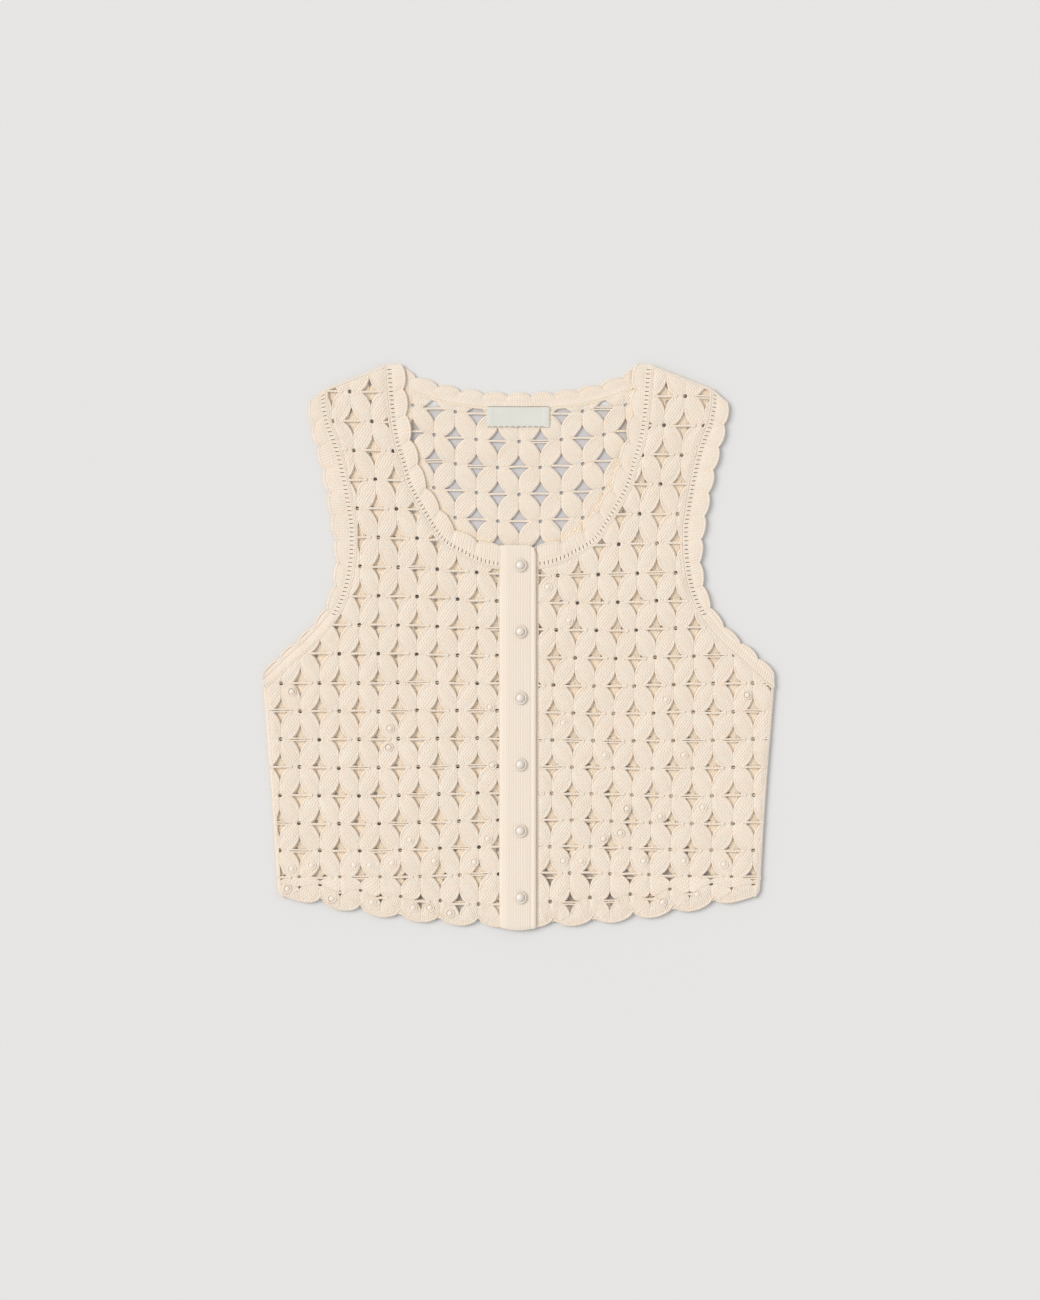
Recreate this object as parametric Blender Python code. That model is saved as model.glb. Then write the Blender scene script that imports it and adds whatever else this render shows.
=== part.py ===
"""A cropped, sleeveless crochet cardigan laid flat with its front up.

The back lies on the ground, the two fronts lie on it, and the buttonhole band laps over the button band at
the centre with six pearl buttons on it. Every lace body is one wall with its star-shaped gaps cut through.
Sizes are in millimetres until mesh_object turns them into metres: X runs across, Y toward the neck, Z up, and
the origin is on the ground under the middle. Sides in names are the wearer's, so "right" lies at -X.
"""

import math

import bpy
import numpy as np
from mathutils import Vector
from mathutils.geometry import delaunay_2d_cdt

MM = 0.001

# Layers.
CLOTH = 1.8
AIR = 0.3
BACK_LOW = 0.0
FRONT_LOW = BACK_LOW + CLOTH + AIR
LAP_LOW = FRONT_LOW + CLOTH + AIR
LAP_THICK = 2.0
PETAL_RISE = 0.8
BAND_RISE = 0.6
BAND_CROWN = 0.4

# The outline of one half, mirrored for the other: each row is (across, along) from the middle.
ARMHOLE_EDGE = (
    (190.0, 219.0),
    (186.5, 195.0),
    (178.0, 160.0),
    (172.5, 133.0),
    (167.0, 98.0),
    (165.5, 73.0),
    (170.0, 47.0),
    (179.0, 28.5),
    (194.0, 11.0),
    (212.0, -5.0),
    (231.5, -24.0),
)
SIDE_EDGE = ((229.6, -46.5), (225.3, -90.0), (220.8, -150.0), (217.0, -214.0))
FRONT_NECK_SEAM = (
    (115.8, 252.5),
    (112.5, 214.0),
    (108.4, 186.0),
    (102.2, 165.6),
    (95.3, 143.0),
    (80.5, 117.5),
    (65.5, 97.0),
    (48.0, 87.0),
    (31.0, 80.5),
    (15.5, 78.5),
)
BACK_NECK_SEAM = (
    (115.8, 252.5),
    (114.2, 246.0),
    (109.0, 240.8),
    (100.0, 235.6),
    (80.0, 227.0),
    (55.0, 221.0),
    (28.0, 217.5),
    (0.0, 216.5),
)
SHOULDER_NECK = (118.0, 253.5)
SHOULDER_TIP = (188.0, 225.0)
SHOULDER_TOP = (109.0, 255.2)
HEM_MIDDLE = -253.0
HEM_CORNER = (213.0, -225.5)
HEM_CORNER_TOP = (216.5, -220.0)
BACK_HEM_LIFT = 3.5

# Bands.
ARMHOLE_BAND = 17.0
FRONT_NECK_BAND = 13.5
BACK_NECK_BAND = 11.5
SCALLOP_PITCH = 21.8
SCALLOP_DEPTH = 2.8
SCALLOP_STEPS = (0.0, 0.2, 0.5, 0.8)
HEM_SCALLOP_DEPTH = 8.0
HEM_SCALLOP_STEPS = (0.0, 0.1, 0.28, 0.5, 0.72, 0.9)
SEAM_STEP = 10.0
SIDE_STEP = 30.0

# Front bands and what is fastened on them.
FRONT_EDGE = 15.5
BUTTON_BAND_HALF = 15.2
UNDER_INSET = 1.5
LAP_EDGES = (-16.8, 15.8)
LAP_TOP = 90.5
LAP_CORNER = 9.0
LAP_RISE = 0.5
LAP_FOOT_DROP = 2.2
LAP_FOOT_POINTS = 7
LAP_HEM = 4.6
LAP_LEVELS = 12
BUTTON_TOP_Y = 72.5
BUTTON_PITCH = 59.6
BUTTON_COUNT = 6
BUTTON_X = 1.2
BUTTON_SEGMENTS = 14
BUTTON_PROFILE = (
    # (radius, height above the band)
    (0.0, 0.3),
    (5.2, 0.3),
    (5.9, 0.9),
    (5.2, 1.7),
    (4.1, 1.6),
    (3.5, 2.9),
    (2.0, 3.9),
    (0.0, 4.2),
)
LABEL_SIZE = (56.0, 18.8)
LABEL_MIDDLE = (-0.5, 205.8)
LABEL_THICK = 1.0

# The flower lattice: flowers stand in rows, every other row half a pitch along, and gaps lie between them.
FIRST_ROW = -33.3
ROW_PITCH_BELOW = 24.95
FRONT_ROW_PITCH_ABOVE = 26.2
BACK_ROW_PITCH_ABOVE = 24.3
BACK_COLUMN_PITCH = 38.2
BACK_FIRST_COLUMN = 19.1
BACK_ROW_SAG = 0.001
BACK_SAG_REACH = 110.0
FRONT_SPREAD = 0.062
FRONT_SPREAD_FROM = 85.0
ROWS = range(-8, 12)
FRONT_COLUMNS = range(-1, 7)
BACK_COLUMNS = range(-7, 7)
STAR_HALF = (8.9, 12.6)
STAR_WAIST = (4.0, 3.4)
STAR_MARGIN = 3.2
PETAL_REACH = 1.95
PETAL_APART = 6.0
HEM_BORDER = 19.5
HEM_STAR_LIFT = 19.8
HEM_STAR_SCALE = 0.5
HEM_STAR_REACH = 130.0

# (node prefix, side of X, first column, column pitch)
FRONTS = (
    ("right", -1, -36.5, -35.4),
    ("left", 1, 31.3, 35.8),
)


def smooth_line(rows, step):
    """Points about step apart on a Catmull-Rom curve through the rows."""
    rows = [np.array(row, float) for row in rows]
    ends = [2 * rows[0] - rows[1]] + rows + [2 * rows[-1] - rows[-2]]
    line = []
    for before, start, end, after in zip(ends, ends[1:], ends[2:], ends[3:]):
        count = max(1, round(float(np.linalg.norm(end - start)) / step))
        for t in np.arange(count) / count:
            line.append(
                0.5
                * (
                    2 * start
                    + (end - before) * t
                    + (2 * before - 5 * start + 4 * end - after) * t**2
                    + (3 * start - before - 3 * end + after) * t**3
                )
            )
    return np.array(line + [rows[-1]])


def shifted(line, distance):
    """The line moved sideways, to the left of its own direction where distance is positive."""
    along = np.gradient(line, axis=0)
    along /= np.linalg.norm(along, axis=1)[:, None]
    return line + distance * np.stack([-along[:, 1], along[:, 0]], axis=1)


def at_lengths(line, lengths):
    """The points of a line at these lengths from its start."""
    gone = np.concatenate([[0], np.cumsum(np.linalg.norm(np.diff(line, axis=0), axis=1))])
    return np.stack([np.interp(lengths, gone, line[:, axis]) for axis in (0, 1)], axis=1)


def bulge(t):
    """How full a scallop is at share t of its width."""
    return math.sin(math.pi * t) ** 0.55 if 0 < t < 1 else 0.0


def scalloped(line, toward):
    """Whole scallops along a line. Their notches lie on it and their tips SCALLOP_DEPTH to one side."""
    length = float(np.linalg.norm(np.diff(line, axis=0), axis=1).sum())
    count = round(length / SCALLOP_PITCH)
    shares = [(n + t) / count for n in range(count) for t in SCALLOP_STEPS] + [1.0]
    rises = [bulge(t) for n in range(count) for t in SCALLOP_STEPS] + [0.0]
    base = at_lengths(line, np.array(shares) * length)
    tips = shifted(base, toward * SCALLOP_DEPTH)
    return base + (tips - base) * np.array(rises)[:, None]


def mirrored(line, side):
    """The line on this side of the middle, with its direction unchanged."""
    return line * np.array([side, 1.0])


def armhole_edge():
    """The armhole's notch line, from the shoulder down to the underarm."""
    return shifted(smooth_line(ARMHOLE_EDGE, SEAM_STEP), -SCALLOP_DEPTH)


def armhole_seam(apart):
    """The line where an armhole band meets a body, moved apart from it toward the band."""
    line = shifted(smooth_line(ARMHOLE_EDGE, SEAM_STEP), -(ARMHOLE_BAND - apart))
    top = np.array([[line[0][0], shoulder_height(line[0][0])]])
    below = line[-1] + (line[-1] - line[-2])
    reach = np.interp(below[1], [SIDE_EDGE[1][1], SIDE_EDGE[0][1]], [SIDE_EDGE[1][0], SIDE_EDGE[0][0]])
    return np.concatenate([top, line[1:-1], [[reach, below[1]]]])


def shoulder_height(across):
    """The shoulder's line at this distance from the middle."""
    return float(np.interp(across, [SHOULDER_NECK[0], SHOULDER_TIP[0]], [SHOULDER_NECK[1], SHOULDER_TIP[1]]))


def hem_line(across):
    """The line through the tips of the hem's scallops."""
    return HEM_MIDDLE + (HEM_CORNER[1] - HEM_MIDDLE) * (across / HEM_CORNER[0]) ** 2


def hem_notches(first, pitch):
    """The scallops' notches on one front, from under the front band to the corner."""
    side = math.copysign(1, pitch)
    return [first + n * pitch for n in range(-1, 5)] + [side * HEM_CORNER[0]]


def hem_edge(first, pitch, start, lift=0.0):
    """The scalloped hem of one half, outward from start."""
    notches = hem_notches(first, pitch)
    edge = []
    for inner, outer in zip(notches, notches[1:]):
        for t in HEM_SCALLOP_STEPS:
            x = inner + (outer - inner) * t
            if abs(x) < abs(start) or x * pitch < 0:
                continue
            edge.append((x, hem_line(x) + lift + HEM_SCALLOP_DEPTH * (1 - bulge(t))))
    if start:
        t = (start - notches[0]) / (notches[1] - notches[0])
        edge.insert(0, (start, hem_line(start) + lift + HEM_SCALLOP_DEPTH * (1 - bulge(t))))
    return np.array(edge)


def hem_to_shoulder(first, pitch, start, lift=0.0):
    """One half's outline from the hem at start, round the side and up the armhole to the shoulder."""
    side = math.copysign(1, pitch)
    corner = mirrored(np.array([HEM_CORNER, HEM_CORNER_TOP]), side) + np.array([0.0, lift])
    sides = mirrored(smooth_line(SIDE_EDGE, SIDE_STEP)[::-1][:-1], side)
    seam = mirrored(armhole_seam(-AIR / 2)[::-1], side)
    return np.concatenate([hem_edge(first, pitch, start, lift), corner, sides, seam])


def front_outline(side, first, pitch):
    seam = smooth_line(FRONT_NECK_SEAM, SEAM_STEP)
    neck = mirrored(shifted(seam, AIR / 2), side)
    neck[-1][0] = side * FRONT_EDGE
    return np.concatenate([hem_to_shoulder(first, pitch, side * FRONT_EDGE), neck])


def back_outline():
    neck = shifted(smooth_line(BACK_NECK_SEAM, SEAM_STEP), AIR / 2)
    halves = []
    for _, side, first, pitch in FRONTS:
        body = hem_to_shoulder(first, pitch, 0.0, BACK_HEM_LIFT)
        halves.append(np.concatenate([body, mirrored(neck, side)]))
    left_body, right_body = halves
    return np.concatenate([right_body, left_body[::-1][1:]])


def row_height(row, pitch_above):
    return FIRST_ROW + row * (ROW_PITCH_BELOW if row < 0 else pitch_above)


def front_cells(first, pitch):
    """(row, middle of a gap) over one front's lattice."""
    side = math.copysign(1, pitch)
    for row in ROWS:
        y = row_height(row, FRONT_ROW_PITCH_ABOVE)
        spread = side * FRONT_SPREAD * max(0.0, y - FRONT_SPREAD_FROM)
        for column in FRONT_COLUMNS:
            yield row, (first + (column + 0.5 - 0.5 * (row % 2)) * pitch + spread, y)


def back_cells():
    """(row, middle of a gap) over the back's lattice, whose rows sag between the shoulders."""
    for row in ROWS:
        level = row_height(row, BACK_ROW_PITCH_ABOVE)
        sag = BACK_ROW_SAG * min(max(level, 0.0), BACK_SAG_REACH) / BACK_SAG_REACH
        for column in BACK_COLUMNS:
            x = BACK_FIRST_COLUMN + (column + 0.5 - 0.5 * (row % 2)) * BACK_COLUMN_PITCH
            yield row, (x, level + sag * min(abs(x), BACK_SAG_REACH) ** 2)


def star(middle, scale=1.0, grow=0.0):
    """A four-pointed star with hollow sides."""
    points = []
    for quarter in range(4):
        angle = quarter * math.pi / 2
        across, along = math.cos(angle), math.sin(angle)
        points.append((across * (STAR_HALF[0] * scale + grow), along * (STAR_HALF[1] * scale + grow)))
        across, along = across - along, across + along
        points.append((across * (STAR_WAIST[0] * scale + grow), along * (STAR_WAIST[1] * scale + grow)))
    return np.array(points) + np.array(middle)


def inside(points, outline):
    """Which points lie inside a closed outline."""
    x, y = np.asarray(points, float).T
    within = np.zeros(len(x), bool)
    for (x0, y0), (x1, y1) in zip(outline, np.roll(outline, -1, axis=0)):
        if y0 != y1:
            crosses = (y0 > y) != (y1 > y)
            within ^= crosses & (x < (x1 - x0) * (y - y0) / (y1 - y0) + x0)
    return within


def gaps_in(outline, cells):
    """The stars that fit whole inside a body, clear of its seams and of the hem's border."""
    found = []
    for row, middle in cells:
        if row == ROWS[0]:
            if abs(middle[0]) < HEM_STAR_REACH:
                found.append(star((middle[0], hem_line(middle[0]) + HEM_STAR_LIFT), HEM_STAR_SCALE))
            continue
        reach = star(middle, 1.0, STAR_MARGIN)
        if inside(reach, outline).all() and reach[:, 1].min() > hem_line(middle[0]) + HEM_BORDER:
            found.append(star(middle))
    return [gap for gap in found if inside(gap, outline).all()]


def petals_in(outline, gaps):
    """Middles of the petals that bound the gaps, which stand proud of the lace."""
    middles = {}
    for gap in gaps:
        centre = gap.mean(axis=0)
        for waist in gap[1::2]:
            middle = centre + (waist - centre) * PETAL_REACH
            middles[tuple(np.round(middle / PETAL_APART).astype(int))] = middle
    return [(x, y, PETAL_RISE) for x, y in middles.values() if inside([(x, y)], outline)[0]]


def mesh_object(name, points, faces, material):
    mesh = bpy.data.meshes.new(name)
    mesh.from_pydata([tuple(MM * c for c in point) for point in points], [], faces)
    mesh.validate()
    mesh.materials.append(material)
    made = bpy.data.objects.new(name, mesh)
    bpy.context.scene.collection.objects.link(made)
    return made


def flat_faces(loops, extra):
    """Triangles of the sheet inside the first loop and outside the rest, over the points of all of them."""
    outline, *holes = loops
    points = [Vector(p) for loop in loops for p in loop] + [Vector((x, y)) for x, y, _ in extra]
    edges, start = [], 0
    for loop in loops:
        count = len(loop)
        edges += [(start + n, start + (n + 1) % count) for n in range(count)]
        start += count
    placed, _, faces, origins, _, _ = delaunay_2d_cdt(points, edges, [], 0, 1e-5)
    if len(placed) != len(points):
        raise ValueError("an outline crosses itself or a gap")
    back = [origin[0] for origin in origins]
    faces = [tuple(back[corner] for corner in face) for face in faces]
    flat = np.array([(p.x, p.y) for p in points])
    middles = flat[np.array(faces)].mean(axis=1)
    kept = inside(middles, outline)
    for hole in holes:
        kept &= ~inside(middles, hole)
    return [face for face, keep in zip(faces, kept) if keep]


def wall(name, outline, low, thick, material, holes=(), raised=()):
    """A flat wall with cut gaps. Its top goes up to a raised point's own height; its underside is plain."""
    outline = np.array(outline)
    area = np.sum(outline[:, 0] * np.roll(outline[:, 1], -1) - np.roll(outline[:, 0], -1) * outline[:, 1])
    if area < 0:
        outline = outline[::-1]
    loops = [outline, *[hole[::-1] for hole in holes]]
    rim = [tuple(p) for loop in loops for p in loop]
    top_faces = flat_faces(loops, raised)
    under_faces = flat_faces(loops, [])
    high = low + thick
    under = [(x, y, low) for x, y in rim]
    top = [(x, y, high) for x, y in rim] + [(x, y, high + rise) for x, y, rise in raised]
    shift = len(under)
    faces = [tuple(reversed(face)) for face in under_faces]
    faces += [tuple(corner + shift for corner in face) for face in top_faces]
    start = 0
    for loop in loops:
        count = len(loop)
        for n in range(count):
            a, b = start + n, start + (n + 1) % count
            faces.append((a, b, b + shift, a + shift))
        start += count
    return mesh_object(name, under + top, faces, material)


def band(name, seam, edge, low, material, top=None):
    """A strip between its seam and its scalloped edge. On the front each scallop is proud in its middle."""
    steps = len(SCALLOP_STEPS)
    raised = []
    for tip in edge[steps // 2 :: steps] if low == FRONT_LOW else []:
        near = seam[np.argmin(np.linalg.norm(seam - tip, axis=1))]
        x, y = tip + (near - tip) * BAND_CROWN
        raised.append((x, y, BAND_RISE))
    outline = [*seam, *edge[::-1]] if top is None else [*seam, *edge[::-1], top]
    return wall(name, outline, low, CLOTH, material, raised=raised)


def front_neck_band(name, side, material):
    seam = smooth_line(FRONT_NECK_SEAM, SEAM_STEP)
    edge = scalloped(shifted(seam, -(FRONT_NECK_BAND - SCALLOP_DEPTH)), -1)
    near = shifted(seam, -AIR / 2)
    for line in (near, edge):
        line[-1][0] = FRONT_EDGE
    top = mirrored(np.array(SHOULDER_TOP), side)
    return band(name, mirrored(near, side), mirrored(edge, side), FRONT_LOW, material, top)


def back_neck_band(material):
    half = smooth_line(BACK_NECK_SEAM, SEAM_STEP)
    seam = np.concatenate([half, mirrored(half[::-1][1:], -1)])
    edge = scalloped(shifted(seam, -(BACK_NECK_BAND - SCALLOP_DEPTH)), -1)
    return band("back_neck_band", shifted(seam, -AIR / 2), edge, BACK_LOW, material)


def armhole_band(name, side, low, material):
    edge = scalloped(armhole_edge(), 1)
    seam = armhole_seam(AIR / 2)
    return band(name, mirrored(seam, side), mirrored(edge, side), low, material)


def button_band(material):
    """The under band, which the buttons are sewn to."""
    x = BUTTON_BAND_HALF
    foot = [(across, hem_line(across) + UNDER_INSET) for across in (-x, 0.0, x)]
    outline = [*foot, (x, LAP_TOP - UNDER_INSET), (-x, LAP_TOP - UNDER_INSET)]
    return wall("button_band", outline, FRONT_LOW, CLOTH, material)


def buttonhole_band(material):
    """The over band, ribbed lengthwise, with a rounded corner at the neck and a rounded foot."""
    left, right = LAP_EDGES
    across = np.linspace(left, right, LAP_FOOT_POINTS)
    foot = [(x, hem_line(x) - LAP_FOOT_DROP * math.cos(x / left * math.pi / 2)) for x in across]
    arc = [math.radians(a) for a in (0, 30, 60, 90)]
    corner = [
        (right - LAP_CORNER * (1 - math.cos(a)), LAP_TOP - LAP_CORNER * (1 - math.sin(a))) for a in arc
    ]
    outline = [*foot, *corner, (left, LAP_TOP)]
    edges = (
        # (across, rise)
        (left + LAP_HEM / 2, LAP_RISE),
        (left + LAP_HEM, 0.0),
        (right - LAP_HEM, 0.0),
        (right - LAP_HEM / 2, LAP_RISE),
    )
    levels = np.linspace(HEM_MIDDLE + LAP_CORNER, LAP_TOP - LAP_CORNER, LAP_LEVELS)
    ribs = [(x, y, rise) for x, rise in edges for y in levels]
    return wall("buttonhole_band", outline, LAP_LOW, LAP_THICK, material, raised=ribs)


def button(number, material):
    """A pearl in a rimmed saucer, turned round its own axis."""
    rings = BUTTON_PROFILE[1:-1]
    base = LAP_LOW + LAP_THICK
    x = BUTTON_X
    y = BUTTON_TOP_Y - (number - 1) * BUTTON_PITCH
    points = [(x, y, base + BUTTON_PROFILE[0][1]), (x, y, base + BUTTON_PROFILE[-1][1])]
    for radius, height in rings:
        for n in range(BUTTON_SEGMENTS):
            angle = 2 * math.pi * n / BUTTON_SEGMENTS
            points.append((x + radius * math.cos(angle), y + radius * math.sin(angle), base + height))
    faces = []
    last = 2 + (len(rings) - 1) * BUTTON_SEGMENTS
    for n in range(BUTTON_SEGMENTS):
        after = (n + 1) % BUTTON_SEGMENTS
        faces.append((0, 2 + after, 2 + n))
        faces.append((1, last + n, last + after))
        for ring in range(len(rings) - 1):
            low = 2 + ring * BUTTON_SEGMENTS
            high = low + BUTTON_SEGMENTS
            faces.append((low + n, low + after, high + after, high + n))
    made = mesh_object(f"button_{number}", points, faces, material)
    made.data.shade_smooth()
    return made


def neck_label(material):
    half_wide, half_high = LABEL_SIZE[0] / 2, LABEL_SIZE[1] / 2
    x, y = LABEL_MIDDLE
    outline = [
        (x - half_wide, y - half_high),
        (x + half_wide, y - half_high),
        (x + half_wide, y + half_high),
        (x - half_wide, y + half_high),
    ]
    return wall("neck_label", outline, BACK_LOW + CLOTH + AIR, LABEL_THICK, material)


def finish(name, colour, roughness):
    made = bpy.data.materials.new(name)
    made.use_nodes = True
    shader = made.node_tree.nodes["Principled BSDF"]
    shader.inputs["Base Color"].default_value = (*colour, 1.0)
    shader.inputs["Roughness"].default_value = roughness
    shader.inputs["Metallic"].default_value = 0.0
    return made


def main():
    for old in list(bpy.data.objects):
        bpy.data.objects.remove(old)
    lace = finish("cream_lace", (0.87, 0.76, 0.63), 0.85)
    ribbed = finish("cream_ribbed_band", (0.86, 0.75, 0.62), 0.8)
    pearl = finish("pearl", (0.88, 0.84, 0.76), 0.25)
    woven = finish("label_cloth", (0.75, 0.73, 0.66), 0.7)

    outline = back_outline()
    wall("back_panel", outline, BACK_LOW, CLOTH, lace, gaps_in(outline, back_cells()))
    for prefix, side, first, pitch in FRONTS:
        outline = front_outline(side, first, pitch)
        gaps = gaps_in(outline, front_cells(first, pitch))
        petals = petals_in(outline, gaps)
        wall(f"{prefix}_front_panel", outline, FRONT_LOW, CLOTH, lace, gaps, petals)
        front_neck_band(f"{prefix}_front_neck_band", side, lace)
        armhole_band(f"{prefix}_front_armhole_band", side, FRONT_LOW, lace)
        armhole_band(f"{prefix}_back_armhole_band", side, BACK_LOW, lace)
    back_neck_band(lace)
    button_band(ribbed)
    buttonhole_band(ribbed)
    for number in range(1, BUTTON_COUNT + 1):
        button(number, pearl)
    neck_label(woven)


main()
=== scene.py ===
"""A cropped crochet cardigan in flower lace, laid flat with its front up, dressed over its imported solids.

The solids give the layers and outlines. Here every body becomes a lattice of crochet petals round its gaps,
every band a ladder of posts with fans on it, and the buttons, pearls, threads and label get their own forms.
Work is done in millimetres and turned into metres when a mesh is made.
Sides are the wearer's: right is at -X.
"""

import math

import bpy
import numpy as np
from bpy.props import FloatProperty, FloatVectorProperty, PointerProperty
from mathutils.kdtree import KDTree
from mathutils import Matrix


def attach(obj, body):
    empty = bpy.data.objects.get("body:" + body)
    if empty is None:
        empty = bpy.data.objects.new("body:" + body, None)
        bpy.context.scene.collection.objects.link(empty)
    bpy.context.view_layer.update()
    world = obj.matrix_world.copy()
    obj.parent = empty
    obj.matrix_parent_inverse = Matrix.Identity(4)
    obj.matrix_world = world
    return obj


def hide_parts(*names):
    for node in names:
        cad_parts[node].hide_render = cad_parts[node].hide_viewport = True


bl_info = {
    "name": "Crochet Cardigan",
    "version": (1, 0, 0),
    "blender": (4, 5, 0),
    "location": "View3D > Sidebar > Cardigan",
    "description": "A cropped cardigan in crochet flower lace with pearl buttons, laid flat",
    "category": "Add Mesh",
}

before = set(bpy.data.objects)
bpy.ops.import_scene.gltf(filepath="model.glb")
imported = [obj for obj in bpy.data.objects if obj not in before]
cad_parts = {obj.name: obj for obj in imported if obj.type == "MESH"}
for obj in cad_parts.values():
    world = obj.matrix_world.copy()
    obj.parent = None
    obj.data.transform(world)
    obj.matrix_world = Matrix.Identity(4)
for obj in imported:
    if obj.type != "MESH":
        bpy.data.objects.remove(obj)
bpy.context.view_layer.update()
MM = 0.001
UPRIGHT = np.array([0.0, 0.0, 1.0])

# Layers, as packed.
CLOTH = 1.8
AIR = 0.3
BACK_LOW = 0.0
FRONT_LOW = BACK_LOW + CLOTH + AIR
LAP_LOW = FRONT_LOW + CLOTH + AIR
LAP_THICK = 2.0

# The outline of one half, mirrored for the other: each row is (across, along) from the middle.
ARMHOLE_EDGE = (
    (190.0, 219.0), (186.5, 195.0), (178.0, 160.0), (172.5, 133.0), (167.0, 98.0), (165.5, 73.0),
    (170.0, 47.0), (179.0, 28.5), (194.0, 11.0), (212.0, -5.0), (231.5, -24.0),
)  # fmt: skip
SIDE_EDGE = ((229.6, -46.5), (225.3, -90.0), (220.8, -150.0), (217.0, -214.0))
FRONT_NECK_SEAM = (
    (115.8, 252.5), (112.5, 214.0), (108.4, 186.0), (102.2, 165.6), (95.3, 143.0),
    (80.5, 117.5), (65.5, 97.0), (48.0, 87.0), (31.0, 80.5), (15.5, 78.5),
)  # fmt: skip
BACK_NECK_SEAM = (
    (115.8, 252.5), (114.2, 246.0), (109.0, 240.8), (100.0, 235.6),
    (80.0, 227.0), (55.0, 221.0), (28.0, 217.5), (0.0, 216.5),
)  # fmt: skip
SHOULDER_NECK = (118.0, 253.5)
SHOULDER_TIP = (188.0, 225.0)
# How wide an armhole band is at each height: (along, width).
ARMHOLE_WIDTHS = (
    (-30.0, 12.0), (27.0, 13.0), (46.0, 15.0), (75.0, 17.0), (105.0, 21.0),
    (165.0, 21.0), (180.0, 20.0), (200.0, 17.0), (230.0, 16.0),
)  # fmt: skip
HEM_MIDDLE = -253.0
HEM_CORNER = (213.0, -225.5)
HEM_CORNER_TOP = (216.5, -220.0)
BACK_HEM_LIFT = 3.5

# The bands' widths with their scallops, and the posts of their ladders: the columns of points of each post
# as shares of the pitch, and how far a post may lean from square to stay level.
FRONT_NECK_BAND = 13.5
BACK_NECK_BAND = 11.5
SCALLOP_PITCH = 21.8
NECK_SCALLOP = 4.0
ARMHOLE_SCALLOP = 3.3
POST_PITCH = 3.9
POST_COLUMNS = (0.0, 0.17, 0.46, 0.75)
MOST_LEAN = 0.35
RIB_PITCH = 3.1
HEM_SCALLOP_DEPTH = 8.0
SCALLOP_FULLNESS = 0.55
CORNER_DROP = 0.15
HEM_STEPS = 14
LINE_STEP = 3.0
NEAREST_STEP = 0.3
# How far the ladders lap the lace, the front's by (distance from the middle, lap), and the gap at a seam.
BACK_LADDER_LAP = 3.0
FRONT_LADDER_LAP = ((15.5, 8.0), (50.0, 5.5), (85.0, 4.0))
SEWN = 0.04

# The front bands, the buttons and the label.
FRONT_EDGE = 15.5
BUTTON_BAND_HALF = 15.2
UNDER_INSET = 1.5
LAP_EDGES = (-16.8, 15.8)
LAP_TOP = 90.5
LAP_CORNER = 9.0
LAP_FOOT_DROP = 2.2
BUTTON_TOP_Y = 72.5
BUTTON_PITCH = 59.6
BUTTON_COUNT = 6
BUTTON_X = 1.2
# A saucer's section from its foot over its rim: (distance in from the rim, height), and its floor's height.
SAUCER = (
    (1.3, -0.1), (0.5, 0.2), (0.05, 0.7), (0.0, 1.1), (0.25, 1.6), (0.8, 1.85), (1.35, 1.7), (1.75, 1.25),
)  # fmt: skip
SAUCER_FLOOR = 1.1
PEARL_LOW = 1.25
PEARL_TOP = 4.2
LABEL_SIZE = (56.0, 18.8)
LABEL_MIDDLE = (-0.5, 205.8)
LABEL_GRID = (57, 21)
LABEL_THREAD_SHADE = (0.3, 0.26, 0.2)
# The label's two seams: (distance from its edge, stitch pitch, share of the pitch that a stitch takes).
LABEL_TOP_SEAM = (0.15, 2.2, 0.94)
LABEL_LOW_SEAM = (0.8, 5.2, 0.6)

# The flower lattice. A node of it is a flower where row + place is even, and a gap where it is odd.
FIRST_ROW = -33.3
ROW_PITCH_BELOW = 24.95
FRONT_ROW_PITCH_ABOVE = 26.2
BACK_ROW_PITCH_ABOVE = 24.2
BACK_ROWS_CLOSER = 0.7
BACK_CLOSER_FROM = 8
BACK_SIDE_CLOSER = 0.068
BACK_EVEN_ABOVE = 7
BACK_COLUMN_PITCH = 38.2
BACK_FIRST_COLUMN = 19.1
BACK_ROW_SAG = 0.001
BACK_SAG_REACH = 110.0
FRONT_SPREAD = 0.062
FRONT_SPREAD_FROM = 85.0
HEM_ROW = -8
TOP_ROW = 12
HEM_ROW_MIDDLE = -232.5
HEM_ROW_CURVE = 18.9
FOOT_DROP = 3.0
# How far each body's flowers over the hem's notches are drawn up: (distance from the middle, lift). Then
# how near they may come to the row above, the share of the back's lift that the gaps between them take, and
# how far the back's next row follows the notches.
HEM_LIFTS = {
    "right": ((30.0, 0.0), (104.0, 3.0), (177.0, 7.0), (213.0, 2.0)),
    "left": ((31.0, 2.5), (66.0, 5.0), (171.0, 8.0), (213.0, 2.0)),
    "back": ((0.0, 1.0), (180.0, 5.0), (213.0, 1.0)),
}
HEM_ROW_LEAST = 6.0
HEM_GAP_LIFT = 0.3
HEM_FOLLOW = 0.35
# The gaps in the hem's row: each body's size, then how that falls from the middle outward, and its limits.
HEM_GAPS = {"right": 1.0, "left": 1.0, "back": 1.35}
HEM_GAP_FALL = (1.05, 0.0042)
HEM_GAP_LIMITS = (0.25, 0.8)
# Each gap's half width and half length, and how full its four arms are: 1 would make straight sides.
FRONT_STAR = (8.9, 12.6, 0.68)
BACK_STAR = (10.0, 12.0, 0.74)
STAR_UNEVEN = 0.07
NODE_UNEVEN = 0.4
PETAL_UNEVEN = 0.18
FLOWER_HOLE = 1.75

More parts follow.
